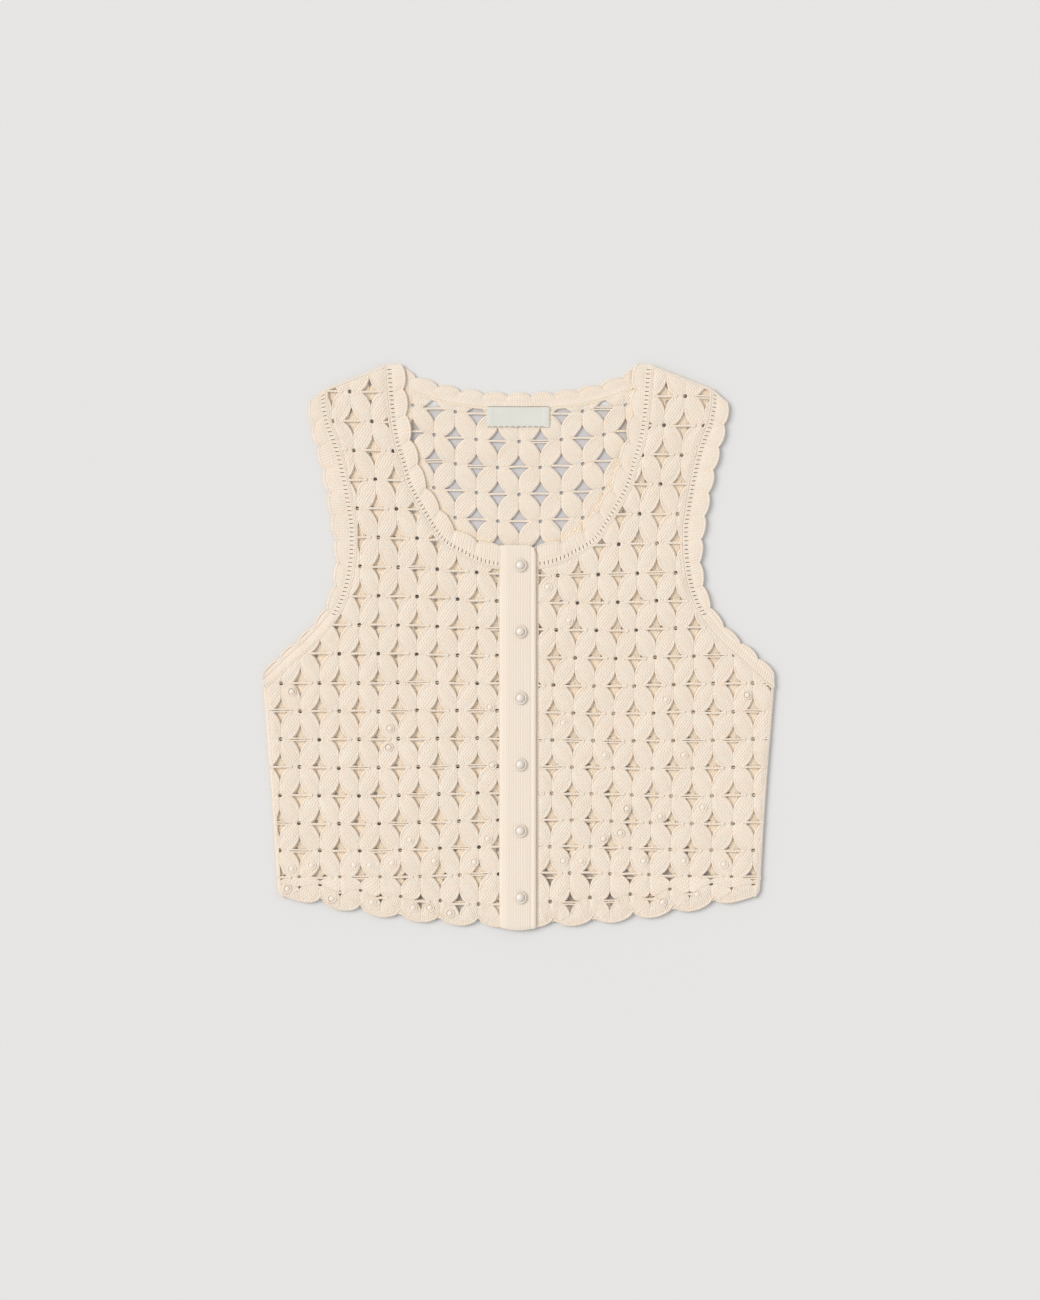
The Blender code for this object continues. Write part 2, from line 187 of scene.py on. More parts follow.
# How the worn lace has drifted from its straight rows, at these distances from the middle:
# (row height, (across, along) at each of them).
DRIFT_AT = (30.0, 90.0, 150.0, 210.0)
DRIFT = {
    "right": (
        (-208.0, (0.5, 3.5), (1.5, 1.0), (0.5, 0.0), (-1.5, 0.0)),
        (-158.0, (0.0, 1.5), (0.5, -0.5), (-1.0, -2.0), (-1.5, -1.0)),
        (-108.0, (-0.5, 0.5), (-0.5, -0.5), (-1.0, -1.5), (-1.0, -0.5)),
        (-33.0, (-0.5, 0.0), (-2.0, 0.5), (-1.0, 0.0), (0.0, 0.0)),
        (19.0, (-0.5, -3.2), (-2.0, -1.0), (-0.5, 0.0), (0.0, 0.0)),
        (72.0, (-1.0, -6.2), (-1.5, -1.0), (0.5, 0.0), (0.0, 0.0)),
        (230.0, (0.0, -8.0), (0.0, -2.0), (0.0, -0.5), (0.0, 0.0)),
    ),
    "left": (
        (-208.0, (-3.5, 4.0), (-3.0, 3.5), (-3.5, 1.5), (0.0, 0.0)),
        (-158.0, (-2.0, 2.0), (-2.0, 0.5), (-2.0, -2.0), (1.0, -1.0)),
        (-108.0, (-1.5, -0.5), (-0.5, -1.5), (-1.0, -2.0), (0.5, -0.5)),
        (-33.0, (0.0, -2.0), (1.0, -3.0), (0.5, -1.0), (0.0, -0.5)),
        (19.0, (2.0, -4.5), (3.0, -5.5), (1.5, -3.0), (0.5, -1.0)),
        (72.0, (4.0, -8.5), (4.0, -6.5), (1.5, -5.5), (1.0, -3.0)),
        (230.0, (2.0, -10.0), (2.0, -3.5), (2.0, -4.5), (1.0, -4.0)),
    ),
}

# Strips of plain chain that finish a body: at a seam, down its side, and how far each laps the lace.
SEAM_CHAIN = 1.7
SIDE_STRIP = 2.6
CHAIN_LAP = 0.6
CHAIN_STITCH = 1.3
CHAIN_KNOTS = 0.14
# Their sections: (share of the width from the edge inward, height over the cloth).
SEAM_SECTION = ((0.0, -0.16), (0.3, 0.1), (0.6, 0.14), (0.85, 0.08), (1.0, -0.2))
SIDE_SECTION = ((0.0, -1.35), (0.14, -0.6), (0.36, -0.08), (0.64, 0.08), (0.85, 0.02), (1.0, -0.2))
# The cord along the hem: how far in and up its middle lies, and its half sizes.
HEM_CORD_IN = 0.95
HEM_CORD_UP = 1.12
HEM_CORD_HALF = (1.0, 1.1)

# How finely a petal is made: (rows at each flower, rows round each gap, shares across it).
BACK_PETAL = (2, 6, (0.0, 0.07, 0.2, 0.39, 0.61, 0.8, 0.93, 1.0))
FRONT_PETAL = (5, 10, (0.0, 0.035, 0.08, 0.14, 0.24, 0.37, 0.5, 0.63, 0.76, 0.86, 0.92, 0.965, 1.0))
LEAST_THICK = 1.2
# A squeezed petal keeps this share of its relief, and what its area adds.
LEAST_ROOM = 0.2
# Points nearer than this are made one: before the outline trims the petals, and after.
WELD = 0.01
EDGE_WELD = 0.03
# The threads: the least gap for one, how high they lie, their points and sides, how far past the gap they
# reach, the share of gaps with two, and how thick those are.
LEAST_GAP = 2.5
BACK_THREADS = 1.35
FRONT_THREADS = 1.95
THREAD_POINTS = 13
THREAD_SIDES = 6
THREAD_REACH = 1.6
TWO_THREADS = 0.2
TWO_THICK = 0.66

# How far the back's relief sinks where something lies on it, how softly the painted shade there begins, and
# how softly the sinking does.
COVERED_SINK = 0.62
COVERED_CHAIN_SINK = 0.1
COVERED_BAND_SINK = 0.35
SHADE_SOFT = 2.5
SINK_SOFT = 3.5

# Rows of points over a band: distances from its seam, rows between, and distances from its tips.
BAND_NEAR = (0.0, 0.4, 0.8, 1.3, 4.7, 5.4)
BAND_BETWEEN = 3
BAND_FAR = (4.4, 3.2, 2.3, 1.6, 0.9, 0.35, 0.0)
SLIT_ROW = 3
# Shares of an armhole band's length: where its slits end, where ribs along it begin, and how soon they
# are full.
ARMHOLE_SLITS = 0.7
ARMHOLE_RIBS = 0.62
RIBS_GROW = 0.14

# Where the floor takes painted shadow, under two layers of cloth and under one: (middle along, half width,
# half length).
SHADOW_UNDER_CLOTH = ((-96.0, 212.0, 142.0), (100.0, 148.0, 120.0))
SHADOW_UNDER_WINDOW = ((128.0, 104.0, 94.0),)

# The stage, in metres: the floor's half size and drop, where the key light stands and what the camera sees.
FLOOR_HALF = 6.0
FLOOR_DROP = 0.0002
KEY_AT = (-1.03, 0.37, 1.07)
KEY_COLOUR = (1.0, 0.985, 0.965)
FILL_COLOUR = (0.985, 0.99, 1.0, 1.0)
VIEW_MIDDLE = (0.0009, -0.0036)

# (node prefix, side of X, first column, column pitch, seed)
FRONTS = (
    ("right", -1, -36.5, -35.4, 3),
    ("left", 1, 31.3, 35.8, 5),
)
BACK_SEED = 7

# Relief in soft ridges, each (height, middle, half width) over a distance in millimetres: along a petal's
# cord, in from the hem, in from a band's tips, from a strip's ends, and from the upper strip's two sides.
PETAL_CORD = ((1.0, 1.1, 0.65), (-0.45, 2.6, 0.8))
HEM_RIDGES = ((0.42, 5.4, 0.9), (-0.4, 3.2, 0.9), (-0.7, 0.0, 0.7))
BAND_RIDGES = ((0.4, 1.0, 0.6), (-0.2, 2.4, 0.6), (-0.9, 0.0, 0.45))
STRIP_ENDS = ((-1.0, 0.0, 0.6), (0.2, 1.6, 0.7))
LAP_LEFT = ((-1.3, 0.0, 0.7),)
LAP_RIGHT = ((0.5, 2.2, 1.5), (-0.28, 4.9, 0.8), (-1.1, 0.0, 0.5))
# How deep and wide a button pulls the strip under it in.
BUTTON_PULL = (0.3, 5.5, 7.0)

# Soft troughs in the fronts: (start, end, half width, depth).
TROUGHS = (
    ((-172, 232), (-128, 120), 13.0, 0.38),
    ((-60, 60), (-205, -36), 16.0, 0.32),
    ((-98, -10), (-116, -176), 14.0, 0.26),
    ((-200, -78), (-176, -186), 11.0, 0.30),
    ((176, 226), (136, 128), 12.0, 0.34),
    ((70, 46), (206, -44), 17.0, 0.30),
    ((104, -30), (92, -150), 15.0, 0.24),
    ((196, -96), (182, -200), 10.0, 0.32),
)

# The small pearls and the yarn rings round them, how high over the cloth they sit, and where.
BEAD_WIDE = 2.3
BEAD_HIGH = 0.95
RING_RADIUS = 3.6
RING_THICK = 0.62
PEARL_SEAT = 0.5
PEARLS = (
    (-204, -41), (-26, -55), (-116, -74), (-117, -91), (-24, -107), (-98, -174), (-28, -173),
    (-76, -193), (-40, -194), (-114, -195), (-134, -197), (-148, -197), (-186, -197), (-204, -200),
    (-208, -218), (-168, -227), (-132, -230), (-95, -235), (-80, -235), (-62, -240),
    (26, 53), (45, 23), (205, -44), (132, -48), (40, -69), (77, -98), (148, -98), (165, -145),
    (97, -146), (127, -153), (91, -168), (76, -173), (40, -193), (56, -193), (112, -193),
    (148, -193), (184, -196), (160, -223), (129, -230),
)  # fmt: skip


def smoothstep(low, high, value):
    share = np.clip((value - low) / (high - low), 0.0, 1.0)
    return share * share * (3.0 - 2.0 * share)


def ridge(distance, middle, half):
    """A soft ridge across a distance, one high at its middle."""
    return np.exp(-(((distance - middle) / half) ** 2))


def ridges(distance, rows):
    """The sum of soft ridges, each row (height, middle, half width)."""
    return sum(height * ridge(distance, middle, half) for height, middle, half in rows)


def waves(distance, pitch):
    return np.cos(2 * np.pi * distance / pitch)


def unit(vectors):
    return vectors / np.maximum(np.linalg.norm(vectors, axis=1), 1e-9)[:, None]


def turned_left(vectors):
    return np.stack([-vectors[:, 1], vectors[:, 0]], axis=1)


def crossed(a, b):
    """The area that two flat vectors span, below zero where b lies to the right of a."""
    return a[..., 0] * b[..., 1] - a[..., 1] * b[..., 0]


def circle(count):
    """The cosines and sines of so many even turns."""
    turn = np.arange(count) * 2 * np.pi / count
    return np.cos(turn), np.sin(turn)


def signed_area(loop):
    """A closed loop's area, below zero where it runs clockwise."""
    x, y = loop.T
    return float(np.sum(x * np.roll(y, -1) - np.roll(x, -1) * y)) / 2


# ------------------------------------------------------------------ outlines


def smooth_line(rows, step):
    """Points about step apart on a Catmull-Rom curve through the rows."""
    rows = [np.array(row, float) for row in rows]
    ends = [2 * rows[0] - rows[1]] + rows + [2 * rows[-1] - rows[-2]]
    line = []
    for before, start, end, after in zip(ends, ends[1:], ends[2:], ends[3:]):
        count = max(1, round(float(np.linalg.norm(end - start)) / step))
        bend = 2 * before - 5 * start + 4 * end - after
        twist = 3 * start - before - 3 * end + after
        for t in np.arange(count) / count:
            line.append(0.5 * (2 * start + (end - before) * t + bend * t**2 + twist * t**3))
    return np.array(line + [rows[-1]])


def shifted(line, distance):
    """The line moved sideways, to the left of its own direction where distance is positive."""
    return line + np.asarray(distance)[..., None] * turned_left(unit(np.gradient(line, axis=0)))


def lengths_of(line):
    return np.concatenate([[0.0], np.cumsum(np.linalg.norm(np.diff(line, axis=0), axis=1))])


def at_shares(line, shares):
    """The points of a line at these shares of its length."""
    gone = lengths_of(line)
    return np.stack([np.interp(shares * gone[-1], gone, line[:, axis]) for axis in (0, 1)], axis=1)


def bulge(t):
    """How full a scallop is at share t of its width."""
    return np.sin(np.pi * np.clip(t, 0.0, 1.0)) ** SCALLOP_FULLNESS


def mirrored(line, side):
    return line * np.array([side, 1.0])


def shoulder_height(across):
    return float(np.interp(across, *zip(SHOULDER_NECK, SHOULDER_TIP)))


def armhole_seam(apart):
    """The line where an armhole band meets a body, moved apart from it toward the band."""
    line = smooth_line(ARMHOLE_EDGE, LINE_STEP)
    line = shifted(line, apart - np.interp(line[:, 1], *zip(*ARMHOLE_WIDTHS)))
    top = np.array([[line[0][0], shoulder_height(line[0][0])]])
    below = line[-1] + 2.0 * (line[-1] - line[-2])
    reach = np.interp(below[1], [SIDE_EDGE[1][1], SIDE_EDGE[0][1]], [SIDE_EDGE[1][0], SIDE_EDGE[0][0]])
    return np.concatenate([top, line[1:-1], [[reach, below[1]]]])


def hem_line(across):
    """The line through the tips of the hem's scallops."""
    return HEM_MIDDLE + (HEM_CORNER[1] - HEM_MIDDLE) * (across / HEM_CORNER[0]) ** 2


def hem_row_line(across):
    """The line through the flowers above the hem's notches."""
    return HEM_ROW_MIDDLE + HEM_ROW_CURVE * (across / HEM_CORNER[0]) ** 2


def hem_notches(first, pitch):
    side = math.copysign(1, pitch)
    return [first + n * pitch for n in range(-1, 5)] + [side * HEM_CORNER[0]]


def hem_edge(first, pitch, start, lift=0.0):
    """The scalloped hem of one half, outward from start. Its last scallop stays full to the corner."""
    edge = []
    notches = hem_notches(first, pitch)
    for inner, outer in zip(notches, notches[1:]):
        for t in np.arange(HEM_STEPS) / HEM_STEPS:
            x = inner + (outer - inner) * t
            at_corner = outer == notches[-1] and t > 0.5
            full = 1 - CORNER_DROP * (2 * t - 1) ** 2 if at_corner else bulge(t)
            if abs(x) > abs(start) and x * pitch > 0:
                edge.append((x, hem_line(x) + lift + HEM_SCALLOP_DEPTH * (1 - full)))
    t = (start - notches[0]) / (notches[1] - notches[0])
    edge.insert(0, (start, hem_line(start) + lift + HEM_SCALLOP_DEPTH * (1 - bulge(t))))
    return np.array(edge)


# The kinds of an outline's stretches.
HEM, SIDE, SEAM = range(3)


def half_runs(side, first, pitch, start, lift, neck, lap):
    """One half's outline as runs of (kind, points), from the hem at start round to the neck's end."""
    corner = np.array([HEM_CORNER, HEM_CORNER_TOP]) + np.array([0.0, lift])
    sides = smooth_line(SIDE_EDGE, 30.0)[::-1][:-1]
    return [
        (HEM, hem_edge(first, pitch, start, lift)),
        (SIDE, mirrored(np.concatenate([corner, sides]), side)),
        (SEAM, mirrored(armhole_seam(-SEWN / 2)[::-1], side)),
        (SEAM, mirrored(shifted(neck, lap + SEWN / 2), side)),
    ]


class Outline:
    """A closed outline with the kind of each stretch, and the line inside it where its lace ends."""

    def __init__(self, runs):
        points = np.concatenate([line for _, line in runs])
        kinds = np.concatenate([np.full(len(line), kind) for kind, line in runs])
        if signed_area(points) < 0:
            points = points[::-1]
            kinds = np.roll(kinds[::-1], -1)
        self.loop, self.kinds = self.refined(points, kinds)
        widths = np.choose(self.kinds, [0.0, SIDE_STRIP, SEAM_CHAIN])
        widths = np.minimum(widths, np.roll(widths, 1))
        for _ in range(2):
            widths = (np.roll(widths, 1) + 2 * widths + np.roll(widths, -1)) / 4
        self.widths = np.where((self.kinds == HEM) & (np.roll(self.kinds, 1) == HEM), 0.0, widths)
        self.inward = self.normals()
        self.lace = self.loop + self.inward * self.widths[:, None]

    @staticmethod
    def refined(points, kinds):
        line, found = [], []
        for start, end, kind in zip(points, np.roll(points, -1, axis=0), kinds):
            count = max(1, math.ceil(float(np.linalg.norm(end - start)) / LINE_STEP))
            line += [start + (end - start) * t for t in np.arange(count) / count]
            found += [kind] * count
        return np.array(line), np.array(found)

    def normals(self):
        ahead = unit(np.roll(self.loop, -1, axis=0) - self.loop)
        return turned_left(unit(ahead + np.roll(ahead, 1, axis=0)))

    def stretches(self, kind):
        """Index arrays of the unbroken stretches of a kind, in order, each with its end point."""
        wanted = self.kinds == kind
        starts = np.flatnonzero(wanted & ~np.roll(wanted, 1))
        ends = np.flatnonzero(~wanted & np.roll(wanted, 1))
        ends = np.roll(ends, -1) if ends[0] < starts[0] else ends
        size = len(wanted)
        return [(first + np.arange((last - first) % size + 1)) % size for first, last in zip(starts, ends)]


def front_neck():
    """The front neck's seam and how far its ladder laps the lace at each point."""
    neck = smooth_line(FRONT_NECK_SEAM, LINE_STEP)
    return neck, np.interp(neck[:, 0], *zip(*FRONT_LADDER_LAP))


def front_outline(side, first, pitch):
    runs = half_runs(side, first, pitch, side * FRONT_EDGE, 0.0, *front_neck())
    runs[-1][1][-1][0] = side * FRONT_EDGE
    return Outline(runs)


def back_outline():
    neck = smooth_line(BACK_NECK_SEAM, LINE_STEP)
    right, left = (
        half_runs(side, first, pitch, 0.0, BACK_HEM_LIFT, neck, BACK_LADDER_LAP)
        for _, side, first, pitch, _ in FRONTS
    )
    left_back = [(kind, line[::-1]) for kind, line in reversed(left)]
    left_back[0] = (SEAM, left_back[0][1][1:])
    return Outline(right + left_back)


def inside(points, loop):
    """Which points lie inside a closed loop."""
    x, y = np.asarray(points, float).T
    within = np.zeros(len(x), bool)
    for (x0, y0), (x1, y1) in zip(loop, np.roll(loop, -1, axis=0)):
        if y0 != y1:
            crosses = (y0 > y) != (y1 > y)
            within ^= crosses & (x < (x1 - x0) * (y - y0) / (y1 - y0) + x0)
    return within


def nearest_on(points, line, closed=True):
    """(distance, place) of the nearest point of a line to each point."""
    starts = line if closed else line[:-1]
    ends = np.roll(line, -1, axis=0) if closed else line[1:]
    spots = []
    for start, end in zip(starts, ends):
        count = max(1, math.ceil(float(np.linalg.norm(end - start)) / NEAREST_STEP))
        spots.append(start + (end - start) * (np.arange(count) / count)[:, None])
    spots = np.concatenate(spots + [ends[-1:]])
    tree = KDTree(len(spots))
    for index, (x, y) in enumerate(spots.tolist()):
        tree.insert((x, y, 0.0), index)
    tree.balance()
    found = [tree.find((x, y, 0.0)) for x, y in points.tolist()]
    return np.array([away for _, _, away in found]), spots[[index for _, index, _ in found]]


# ------------------------------------------------------------------ meshes


class Work:
    """The faces made so far for one piece, all triangles, in millimetres."""

    def __init__(self):
        self.points, self.faces, self.stitch, self.shade = [], [], [], []
        self.count = 0

    def add(self, points, faces, stitch, shade=0.0):
        """stitch is each face corner's place along and across its yarn, shade one number for each point."""
        self.points.append(points)
        self.faces.append(faces + self.count)
        self.stitch.append(stitch)
        shade = np.broadcast_to(shade, len(points))
        self.shade.append(shade[faces])
        self.count += len(points)

    def piece(self, name, material, slot, nodes=(), angle=40.0):
        points = np.concatenate(self.points)
        faces = np.concatenate(self.faces)
        maps = {
            "stitch": np.concatenate(self.stitch).reshape(-1, 2),
            "shade": np.stack([np.concatenate(self.shade).ravel()] * 2, axis=1),
        }
        mesh = bpy.data.meshes.new(name)
        mesh.vertices.add(len(points))
        mesh.vertices.foreach_set("co", (points * MM).astype(np.float32).ravel())
        mesh.loops.add(faces.size)
        mesh.loops.foreach_set("vertex_index", faces.astype(np.int32).ravel())
        mesh.polygons.add(len(faces))
        mesh.polygons.foreach_set("loop_start", np.arange(0, faces.size, 3, dtype=np.int32))
        mesh.update(calc_edges=True)
        for label, values in maps.items():
            layer = mesh.uv_layers.new(name=label, do_init=False)
            layer.uv.foreach_set("vector", values.astype(np.float32).ravel())
        mesh.validate()
        mesh.shade_smooth()
        mesh.set_sharp_from_angle(angle=math.radians(angle))
        mesh.materials.append(material)
        made = bpy.data.objects.new(name, mesh)
        bpy.context.scene.collection.objects.link(made)
        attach(made, "root")
        if nodes:
            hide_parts(*nodes)
        return made


def two_triangles(quads):
    return np.concatenate([quads[:, [0, 1, 2]], quads[:, [0, 2, 3]]])


def grid_quads(rows, columns, wrap=False):
    """Corners of a grid's quads, numbered row by row. A wrapped grid joins its last column to its first."""
    across = np.arange(columns if wrap else columns - 1)
    along = np.arange(rows - 1)[:, None]
    after = (across + 1) % columns
    here, there = along * columns, (along + 1) * columns
    return np.stack([here + across, there + across, there + after, here + after], axis=-1).reshape(-1, 4)


def add_sheet(work, flat, top, under, faces, stitch, shade=0.0):
    """A closed sheet over flat points: its top, its underside, and a wall round every free edge."""
    count = len(flat)
    points = np.concatenate([np.column_stack([flat, top]), np.column_stack([flat, under])])
    turns = ([0, 1], [1, 2], [2, 0])
    edges = np.concatenate([faces[:, pair] for pair in turns])
    edge_stitch = np.concatenate([stitch[:, pair] for pair in turns])
    _, index, uses = np.unique(np.sort(edges, axis=1), axis=0, return_inverse=True, return_counts=True)
    free = uses[index.ravel()] == 1
    start, end = edges[free].T
    start_stitch, end_stitch = edge_stitch[free, 0], edge_stitch[free, 1]
    walls = two_triangles(np.stack([start + count, end + count, end, start], axis=1))
    wall_stitch = two_triangles(np.stack([start_stitch, end_stitch, end_stitch, start_stitch], axis=1))
    shade = np.concatenate([np.broadcast_to(shade, count), np.zeros(count)])
    faces = np.concatenate([faces, faces[:, ::-1] + count, walls])
    work.add(points, faces, np.concatenate([stitch, stitch[:, ::-1], wall_stitch]), shade)


def add_grid(work, rows, columns, flat, height, low, stitch):
    """A closed sheet over a grid of flat points, level below. stitch is each point's place in the yarn."""
    faces = two_triangles(grid_quads(rows, columns)[:, ::-1])
    add_sheet(work, flat, low + height, np.full(len(flat), low), faces, stitch[faces])


def add_skin(work, rings, closed=False, shade=0.0):
    """A closed skin through rings of points. Its yarn runs from ring to ring. Closed rings need no caps."""
    stations, sides, _ = rings.shape
    points = rings.reshape(-1, 3)
    middles = rings.mean(axis=1)
    along = lengths_of(middles)
    around = lengths_of(rings[stations // 2])
    stitch = np.stack(np.meshgrid(along, around, indexing="ij"), axis=-1).reshape(-1, 2)
    faces = two_triangles(grid_quads(stations + closed, sides, wrap=True) % len(points))
    if not closed:
        count, last = len(points), (stations - 1) * sides
        across = np.arange(sides)
        after = (across + 1) % sides
        start_cap = np.stack([np.full(sides, count), across, after], axis=1)
        end_cap = np.stack([np.full(sides, count + 1), last + after, last + across], axis=1)
        faces = np.concatenate([faces, start_cap, end_cap])
        points = np.concatenate([points, [middles[0]], [middles[-1]]])
        stitch = np.concatenate([stitch, [[0.0, 0.0]], [[along[-1], 0.0]]])
    a, b, c = (points[faces[:, corner]] for corner in range(3))
    if np.einsum("ij,ij->i", a, np.cross(b, c)).sum() < 0:
        faces = faces[:, ::-1]
    work.add(points, faces, stitch[faces], shade)


def tube_rings(line, wide, high, sides):
    """Rings of an oval tube round a line that lies roughly flat."""
    across = turned_left(unit(np.gradient(line[:, :2], axis=0)))
    across = np.column_stack([across, np.zeros(len(line))])
    side, up = (
        part * np.broadcast_to(size, len(line))[:, None] for part, size in zip(circle(sides), (wide, high))
    )
    return line[:, None] + side[:, :, None] * across[:, None] + up[:, :, None] * UPRIGHT


def ribbon_rings(outer, inner, profile, low):
    """Rings of a strip between two lines, flat below. profile rows are (share toward inner, height)."""
    rings = []
    for share, height in (*profile, (1.0, low), (0.0, low)):
        flat = outer + (inner - outer) * share
        rings.append(np.column_stack([flat, np.broadcast_to(height, len(flat))]))
    return np.stack(rings, axis=1)


# ------------------------------------------------------------------ lace


class Lattice:
    """Where one body's flowers and gaps stand, and how large each gap is."""

    def __init__(self, name, spot, half_pitch, places, star, seed, lift):
        self.half_pitch, self.places, self.hollow = half_pitch, places, star[2]
        draw = np.random.default_rng(seed)
        self.nodes, self.stars = {}, {}
        for row in range(HEM_ROW - 1, TOP_ROW + 1):
            for place in places:
                x, y = spot(row, place)
                if row == HEM_ROW:
                    drawn_up = lift + float(np.interp(abs(x), *zip(*HEM_LIFTS[name])))
                    y = hem_row_line(x) + (HEM_GAP_LIFT * lift if (row + place) % 2 else drawn_up)
                    y = min(y, spot(row + 1, place)[1] - HEM_ROW_LEAST)
                elif row < HEM_ROW:
                    y = hem_line(x) + lift - FOOT_DROP
                self.nodes[row, place] = np.array([x, y]) + draw.uniform(-NODE_UNEVEN, NODE_UNEVEN, 2)
                scale = 1.0
                if row == HEM_ROW:
                    share = HEM_GAP_FALL[0] - HEM_GAP_FALL[1] * abs(x)
                    scale = HEM_GAPS[name] * float(np.clip(share, *HEM_GAP_LIMITS))
                elif row < HEM_ROW:
                    scale = 0.0
                uneven = 1.0 + draw.uniform(-STAR_UNEVEN, STAR_UNEVEN, 2)
                self.stars[row, place] = np.array(star[:2]) * scale * uneven

    def cells(self):
        """(flower, gap, flower, gap) round each petal, with the half sizes of its two gaps."""
        for row in range(HEM_ROW - 1, TOP_ROW):
            for place in self.places[:-1]:
                near, far = (place, place + 1) if (row + place) % 2 == 0 else (place + 1, place)
                keys = (row, near), (row, far), (row + 1, far), (row + 1, near)
                yield [self.nodes[key] for key in keys], self.stars[keys[1]], self.stars[keys[3]]

    def gaps(self):
        """(middle, half sizes) of each gap that is wide enough for a thread."""
        for (row, place), middle in self.nodes.items():
            if (row + place) % 2 and self.stars[row, place][0] > LEAST_GAP:
                yield middle, self.stars[row, place]


def front_lattice(prefix, side, first, pitch, seed):
    levels = [row[0] for row in DRIFT[prefix]]
    drifts = np.array([row[1:] for row in DRIFT[prefix]])

    def spot(row, place):
        y = FIRST_ROW + row * (ROW_PITCH_BELOW if row < 0 else FRONT_ROW_PITCH_ABOVE)
        x = first + place * pitch / 2 + side * FRONT_SPREAD * max(0.0, y - FRONT_SPREAD_FROM)
        across, along = (
            np.interp(abs(x), DRIFT_AT, [np.interp(y, levels, column) for column in drifts[:, :, axis].T])
            for axis in (0, 1)
        )
        return x + across, y + along

    return Lattice(prefix, spot, abs(pitch) / 2, range(-3, 13), FRONT_STAR, seed, 0.0)


def back_lattice():
    columns = BACK_FIRST_COLUMN + BACK_COLUMN_PITCH * np.arange(6)
    notches = [hem_notches(first, pitch)[1:] for _, _, first, pitch, _ in FRONTS]
    grown = np.concatenate([-columns[::-1], columns])
    moved = np.concatenate([notches[0][::-1], notches[1]])

    def spot(row, place):
        level = FIRST_ROW + row * (ROW_PITCH_BELOW if row < 0 else BACK_ROW_PITCH_ABOVE)
        level -= BACK_ROWS_CLOSER * max(0, row - BACK_CLOSER_FROM)
        x = BACK_FIRST_COLUMN + place * BACK_COLUMN_PITCH / 2
        notch = float(np.interp(x, grown, moved) + x - np.clip(x, grown[0], grown[-1]))
        past = max(0.0, abs(x) - columns[1]) * min(1.0, max(0.0, (BACK_EVEN_ABOVE - row) / 3))
        x -= math.copysign(BACK_SIDE_CLOSER * past, x)
        follow = {HEM_ROW + 1: HEM_FOLLOW}.get(row, float(row <= HEM_ROW))
        x += follow * (notch - x)
        sag = BACK_ROW_SAG * min(max(level, 0.0), BACK_SAG_REACH) / BACK_SAG_REACH
        return x, level + sag * min(abs(x), BACK_SAG_REACH) ** 2

    return Lattice("back", spot, BACK_COLUMN_PITCH / 2, range(-16, 16), BACK_STAR, BACK_SEED, BACK_HEM_LIFT)


def petal_side(wide, high, star, hollow, grooves, curve):
    """One side of a petal, from its first flower's eye, round the gap and up to the next flower."""
    half_x, half_y = star
    power = 2.0 / hollow
    turn = np.linspace(0, np.pi / 2, curve, endpoint=False)
    return np.concatenate(
        [
            np.linspace((FLOWER_HOLE, 0.0), (wide - half_x, 0.0), grooves, endpoint=False),
            np.column_stack([wide - half_x * np.cos(turn) ** power, half_y * np.sin(turn) ** power]),
            np.linspace((wide, half_y), (wide, high - FLOWER_HOLE), grooves + 1),
        ]
    )


def petal(wide, high, near_star, far_star, hollow, grooves, curve, shares, lace):
    """(shares of the cell, height over the cloth, place in the yarn) over one petal's grid."""
    lower = petal_side(wide, high, near_star, hollow, grooves, curve)
    upper = np.array([wide, high]) - petal_side(wide, high, far_star, hollow, grooves, curve)[::-1]
    t = shares[None, :, None]
    grid = lower[:, None] * (1 - t) + upper[:, None] * t
    turn = shares * np.pi / 2
    round_off = FLOWER_HOLE * np.stack([np.cos(turn) - (1 - shares), np.sin(turn) - shares], axis=1)
    ease = np.clip(1 - np.arange(len(grid)) / 3, 0, 1)[:, None, None]
    grid = grid + ease * round_off[None] - ease[::-1] * round_off[None, :, ::-1]

    width = np.linalg.norm(upper - lower, axis=1)[:, None]
    edge = np.minimum(shares, 1 - shares)[None] * width
    middle = (lower + upper) / 2
    along = lengths_of(middle)[:, None]
    out = along / along[-1]
    ends = np.minimum(np.linalg.norm(grid, axis=2), np.linalg.norm(grid - np.array([wide, high]), axis=2))
    row = np.arange(len(grid))[:, None]
    free = smoothstep(grooves - 2.0, grooves + 1.5, row)
    free = free * smoothstep(grooves - 2.0, grooves + 1.5, len(grid) - 1 - row)
    across = (4 * shares * (1 - shares))[None]
    pad = (across**0.7 * free + across**1.3 * (1 - free)) * np.sin(np.pi * np.clip(out, 0.0, 1.0)) ** 0.7
    rise = lace.pad_rise * pad
    rise += lace.cord_rise * free * ridges(edge, PETAL_CORD)
    rise -= lace.groove * (0.25 + 0.75 * free) * ridge(edge, 0.0, 0.5)
    rise += lace.ring_rise * ridge(ends, 3.1, 0.9) - lace.groove * ridge(ends, FLOWER_HOLE, 0.5)
    stitch = np.stack(np.broadcast_arrays(along, (shares[None] - 0.5) * width), axis=-1)
    return grid / np.array([wide, high]), rise, stitch


